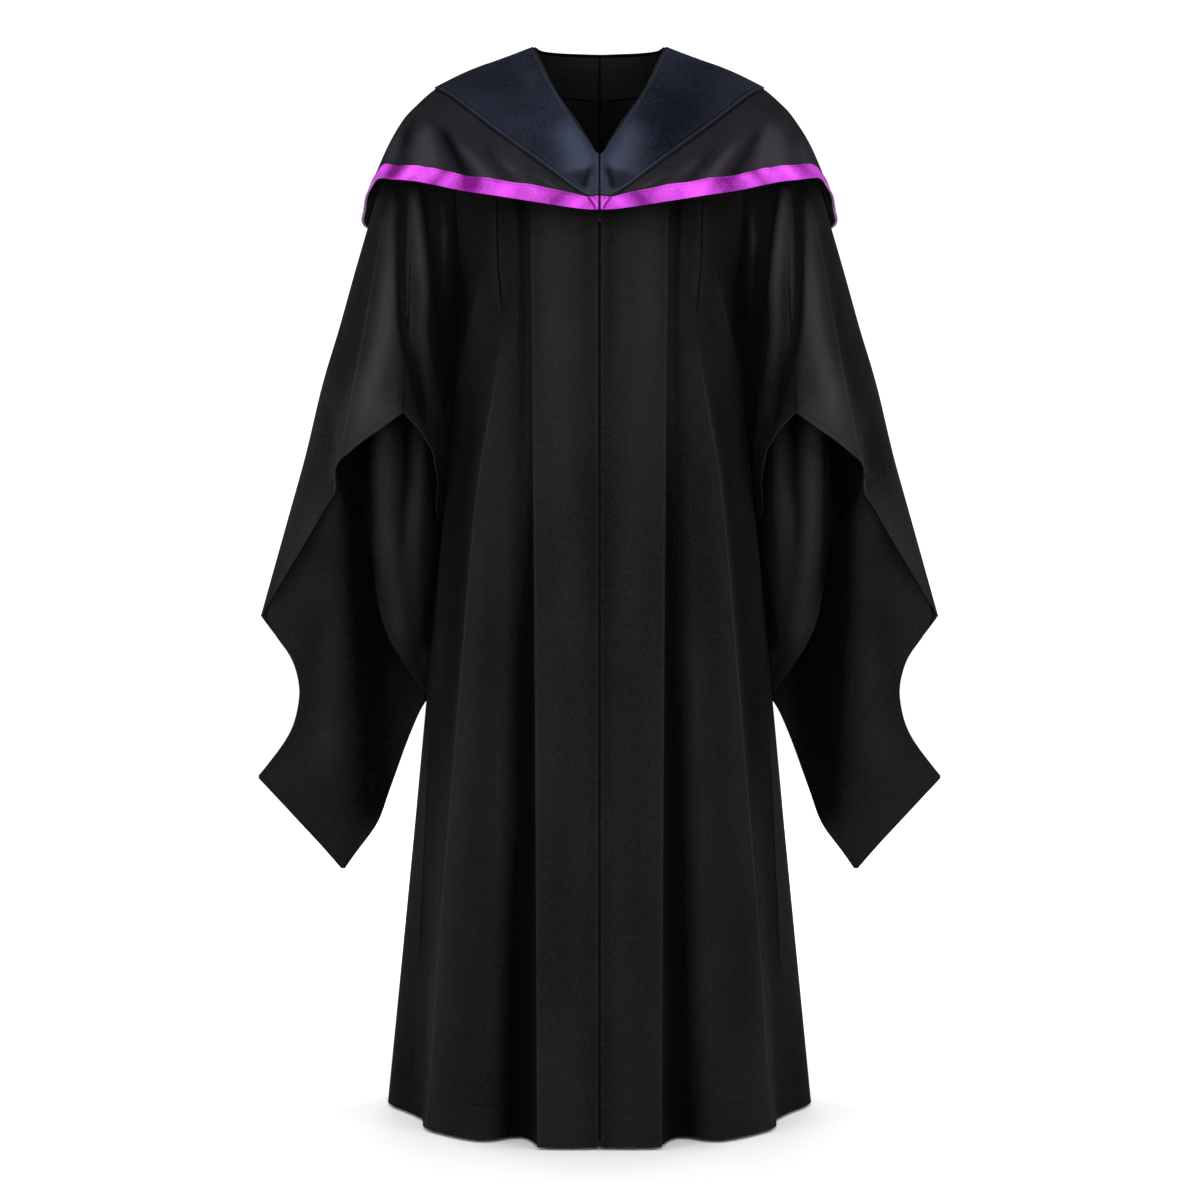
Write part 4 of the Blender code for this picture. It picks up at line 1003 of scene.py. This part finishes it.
# facing: where its outer face looks, None for away from the gown's axis. spacing: of its points, in
# millimetres. ends: millimetres by which the top, bottom, first and last edges reach over the seam
# beside them. beads: radius in millimetres to which the edges are rolled. flat and area: the cut, in
# metres, for each side.
Piece = namedtuple(
    "Piece", "name material facing spacing ends beads flat area rests held", defaults=(None, "yoke", "hung"),
)
ROUND_NECK = (*HOOD, "yoke")
HEM = {"bottom": 0.8}
PIECES = (
    Piece("hood_shell", "hood_satin", None, 4.5, (0, -1.6, -0.1, 0.2), {"bottom": 0.6}, (0.59, 0.40), 0.140,
          held="draped"),
    Piece("collar", "collar_satin", None, 4.0, (-3.2, 0.6, -1.2, 0.2),
          {"top": 1.0, "bottom": 1.0, "first": 0.7}, (0.42, 0.24), 0.050, "hood_shell", "laid"),
    Piece("ribbon", "ribbon_satin", None, 2.6, (0.6, -0.6, -1.2, 0.2),
          {"top": 0.5, "bottom": 0.9, "first": 0.6}, (0.82, 0.018), None, "hood_shell", "laid"),
    Piece("front_band", "gown_cloth", None, 5.0, (0, 0, -0.5, 0), {"last": 0.8, "bottom": 0.8, "first": 0.7},
          (0.08, 1.20)),
    Piece("front", "gown_cloth", None, 5.0, (0.4, 0, 0, 0.4), HEM, (0.23, 1.21)),
    Piece("back", "gown_cloth", None, 5.5, (0.3, 0, 0.1, 0.4), HEM, (0.36, 1.17)),
    Piece("yoke", "gown_cloth", None, 5.0, (0, 0.3, 0.3, 0.1), {"top": 0.8}, (0.20, 0.09), None,
          "shoulder_rest", "laid"),
    Piece("sleeve_front", "sleeve_cloth", TO_FRONT, 4.5, (0.4, 0, 0.3, 0.3), HEM, (0.34, 0.60), 0.112),
    Piece("sleeve_back", "gown_cloth", TO_BACK, 5.0, (0.4, 0, 0.3, 0.3), HEM, (0.26, 0.88), 0.155),
    Piece("sleeve_fall", "gown_cloth", TO_FRONT, 4.5, (0.3, 0, 0.3, 0), {"last": 0.8, "bottom": 0.8},
          (0.16, 0.36), None, "sleeve_back"),
    Piece("sleeve_tail", "gown_cloth", TO_FRONT, 4.5, (0, 0, 0, 0), {"last": 0.8, "bottom": 0.8, "top": 0.8},
          (0.20, 0.48), 0.061, "sleeve_back"),
)


def sheet_grid(piece, node, side):
    """The node's sheet on a fine grid, on the side where X is positive, trimmed where the looks need it."""
    grid = upright(lattice(node) * (side, 1.0, 1.0), piece.name in ROUND_NECK)
    if piece.name == "sleeve_front":
        grid = evened(grid)
    grid = refined(grid, piece.spacing * MM, piece.ends, CORNERS.get(piece.name, CORNER))
    if piece.name in TUCKED:
        grid = tucked(grid)
    return eased(grid) if piece.name == "collar" else grid


def dress(piece, side, tag, materials):
    """Lays a finished sheet on one cloth node, with its stitches."""
    node = frame["nodes"][f"{piece.name}_{tag}"]
    grid = sheet_grid(piece, node, side)
    thickness = THICKNESS.get(piece.name, CLOTH) * MM
    lift = (wall_of(piece.name) - thickness) / 2 - UNDER_FACE
    height, painted_shading = relief(piece.name, grid, side)
    lines = (*LINES.get(piece.name, ()), *[None] * LINE_COUNT)[:LINE_COUNT]
    maps = {
        "cloth": np.stack(lengths(grid), axis=-1),
        **{f"line_{k}": line_map(grid, line, piece.name in HOOD) for k, line in enumerate(lines)},
        # The crease heights and painted shading, which the material paints as shade and highlights.
        "relief": np.stack([(height + painted_shading) / MM, np.zeros(height.shape)], axis=-1),
    }
    grid = grid + outward(grid, piece.facing) * (height + lift)[..., None]
    normal = outward(grid, piece.facing)
    mesh = shell_mesh(f"{piece.name}_cloth_{tag}", grid, normal, side, thickness, piece.beads, maps)
    inside = materials["shaded_hood_lining"] if piece.name == "hood_shell" else None
    cloth = place(mesh, materials[piece.material], inside)
    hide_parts(node.name)
    spots = stitches(grid, normal, STITCHED.get(piece.name, ()), thickness / 2)
    if spots:
        thread = materials["ribbon_thread" if piece.name == "ribbon" else "gown_thread"]
        place(beads_mesh(f"{piece.name}_stitches_{tag}", spots, side), thread)


# ---- zip ----
TOOTH_PITCH = 0.00125
TOOTH_HALVES = (0.00075, 0.00042, 0.00035)  # half its length, width and height
TOOTH_OFFSET = 0.00045
TAPE_HALF = 0.011  # half the tape's width
TAPE_BACK = 0.0030  # how far it lies behind the chain
TAPE_THICKNESS = 0.0006
TAPE_STEP = 8  # teeth for each row of the tape's points
TAPE_COLUMNS = 7  # points in a row


def zip_line():
    """Centre line of the zip chain from top to bottom."""
    grid = upright(lattice(frame["nodes"]["zip_chain"]), False)
    line = grid.mean(axis=1)[:, None]
    knots = summed(np.linalg.norm(np.diff(line[:, 0], axis=0), axis=1))
    at = np.arange(TOOTH_PITCH, knots[-1], TOOTH_PITCH)
    return natural_spline(knots, line, at)[:, 0] * (0.0, 1.0, 1.0)


def dress_zip(materials):
    """Coil teeth on the chain, the tape behind it, and enamel on the slider and its tab."""
    line = zip_line()
    way = unit(np.gradient(line, axis=0))
    across = np.array([1.0, 0.0, 0.0])
    out = unit(np.cross(way, across))
    out *= np.where(out[:, 1:2] > 0, -1.0, 1.0)
    long, wide, high = TOOTH_HALVES
    spots = [
        (point + across * TOOTH_OFFSET * (-1) ** k + up * (wall_of("zip_chain") / 2 - high / 2),
         across * long, down * wide, up * high)
        for k, (point, down, up) in enumerate(zip(line, way, out))
    ]
    place(beads_mesh("zip_teeth", spots), materials["zip_coil"])
    columns = np.linspace(-TAPE_HALF, TAPE_HALF, TAPE_COLUMNS)
    back = out[::TAPE_STEP][:, None]
    tape = line[::TAPE_STEP][:, None] + columns[None, :, None] * across
    tape = tape - back * TAPE_BACK
    normal = np.broadcast_to(back, tape.shape)
    mesh = shell_mesh("zip_tape", tape, normal, 1, TAPE_THICKNESS, {}, {})
    place(mesh, materials["zip_coil"])
    for name in ("zip_chain", "zip_slider", "zip_pull"):
        node = frame["nodes"][name]
        node.data.materials.clear()
        node.data.materials.append(materials["zip_coil" if name == "zip_chain" else "zip_enamel"])


# ---- stage ----
FLOOR_Z = -1.1910
FLOOR_RADIUS = 40.0
FLOOR_NEAR = (0.66, 0.66, 0.66)  # the floor is darker at the gown's foot, so that its shadow shows
FLOOR_FAR = (0.88, 0.88, 0.88)
FLOOR_TURN = (0.35, 1.5)  # distances from the gown's middle between which it goes over
WORLD = 1.18  # strength of the studio's white light from all sides
AIM = (0.0, 0.0, -0.45)
SOFT_LIGHTS = (
    # name, position, size, power, seen in the cloth's shine
    ("front", (0.0, -4.6, 0.3), (2.0, 2.4), 95.0, True),
    ("high front", (0.0, -3.4, 2.9), (1.6, 1.2), 70.0, False),
    ("front left", (-3.0, -3.0, 0.8), (1.2, 2.2), 35.0, True),
    ("front right", (3.0, -3.0, 0.8), (1.2, 2.2), 35.0, True),
    ("high rear", (0.0, 3.4, 3.2), (1.6, 1.2), 60.0, False),
    ("rear left", (-3.0, 3.6, 0.9), (1.4, 2.2), 80.0, False),
    ("rear right", (3.0, 3.6, 0.9), (1.4, 2.2), 80.0, False),
)


def soft_light(name, position, size, power, shine):
    light = bpy.data.lights.new(name, "AREA")
    light.shape = "RECTANGLE"
    light.size, light.size_y = size
    light.energy = power
    lamp = added(name, light)
    lamp.location = position
    lamp.rotation_euler = (Vector(AIM) - Vector(position)).to_track_quat("-Z", "Y").to_euler()
    lamp.visible_camera = False
    lamp.visible_glossy = shine


def make_floor():
    shape = bmesh.new()
    bmesh.ops.create_circle(shape, cap_ends=True, segments=64, radius=FLOOR_RADIUS)
    mesh = bpy.data.meshes.new("floor")
    shape.to_mesh(mesh)
    shape.free()
    tree = Tree("floor_white")
    away = tree.add("VectorMath", tree.add("TexCoord").outputs["Object"], operation="LENGTH")
    share = tree.spread(away.outputs["Value"], *FLOOR_TURN, 0.0, 1.0)
    colour = tree.blend(share, FLOOR_NEAR, FLOOR_FAR)
    mesh.materials.append(tree.finish(colour, 0.9, None, Specular_IOR_Level=0.0))
    floor = added("floor", mesh)
    floor.location.z = FLOOR_Z


def make_world():
    world = bpy.data.worlds.new("studio")
    world.use_nodes = True
    background = next(node for node in world.node_tree.nodes if node.type == "BACKGROUND")
    background.inputs["Color"].default_value = (1.0, 1.0, 1.0, 1.0)
    background.inputs["Strength"].default_value = WORLD
    world.cycles_visibility.glossy = False
    bpy.context.scene.world = world
    bpy.context.scene.view_settings.view_transform = "Standard"


def make_camera():
    data = bpy.data.cameras.new("camera")
    data.lens, data.sensor_width = LENS, SENSOR
    eye = added("camera", data)
    eye.location = ((FRAME / 2 - MIDDLE) * PIXEL, -DISTANCE, EYE_Z)
    eye.rotation_euler = (math.pi / 2, 0.0, 0.0)
    bpy.context.scene.camera = eye


def clear_scene():
    for old in list(bpy.data.objects):
        bpy.data.objects.remove(old, do_unlink=True)


def main():
    materials = make_materials()
    for piece in PIECES:
        for side, tag in ((1, "left"), (-1, "right")):
            dress(piece, side, tag, materials)
    dress_zip(materials)
    make_floor()
    make_world()
    for light in SOFT_LIGHTS:
        soft_light(*light)
    make_camera()


clear_scene()
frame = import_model()
main()
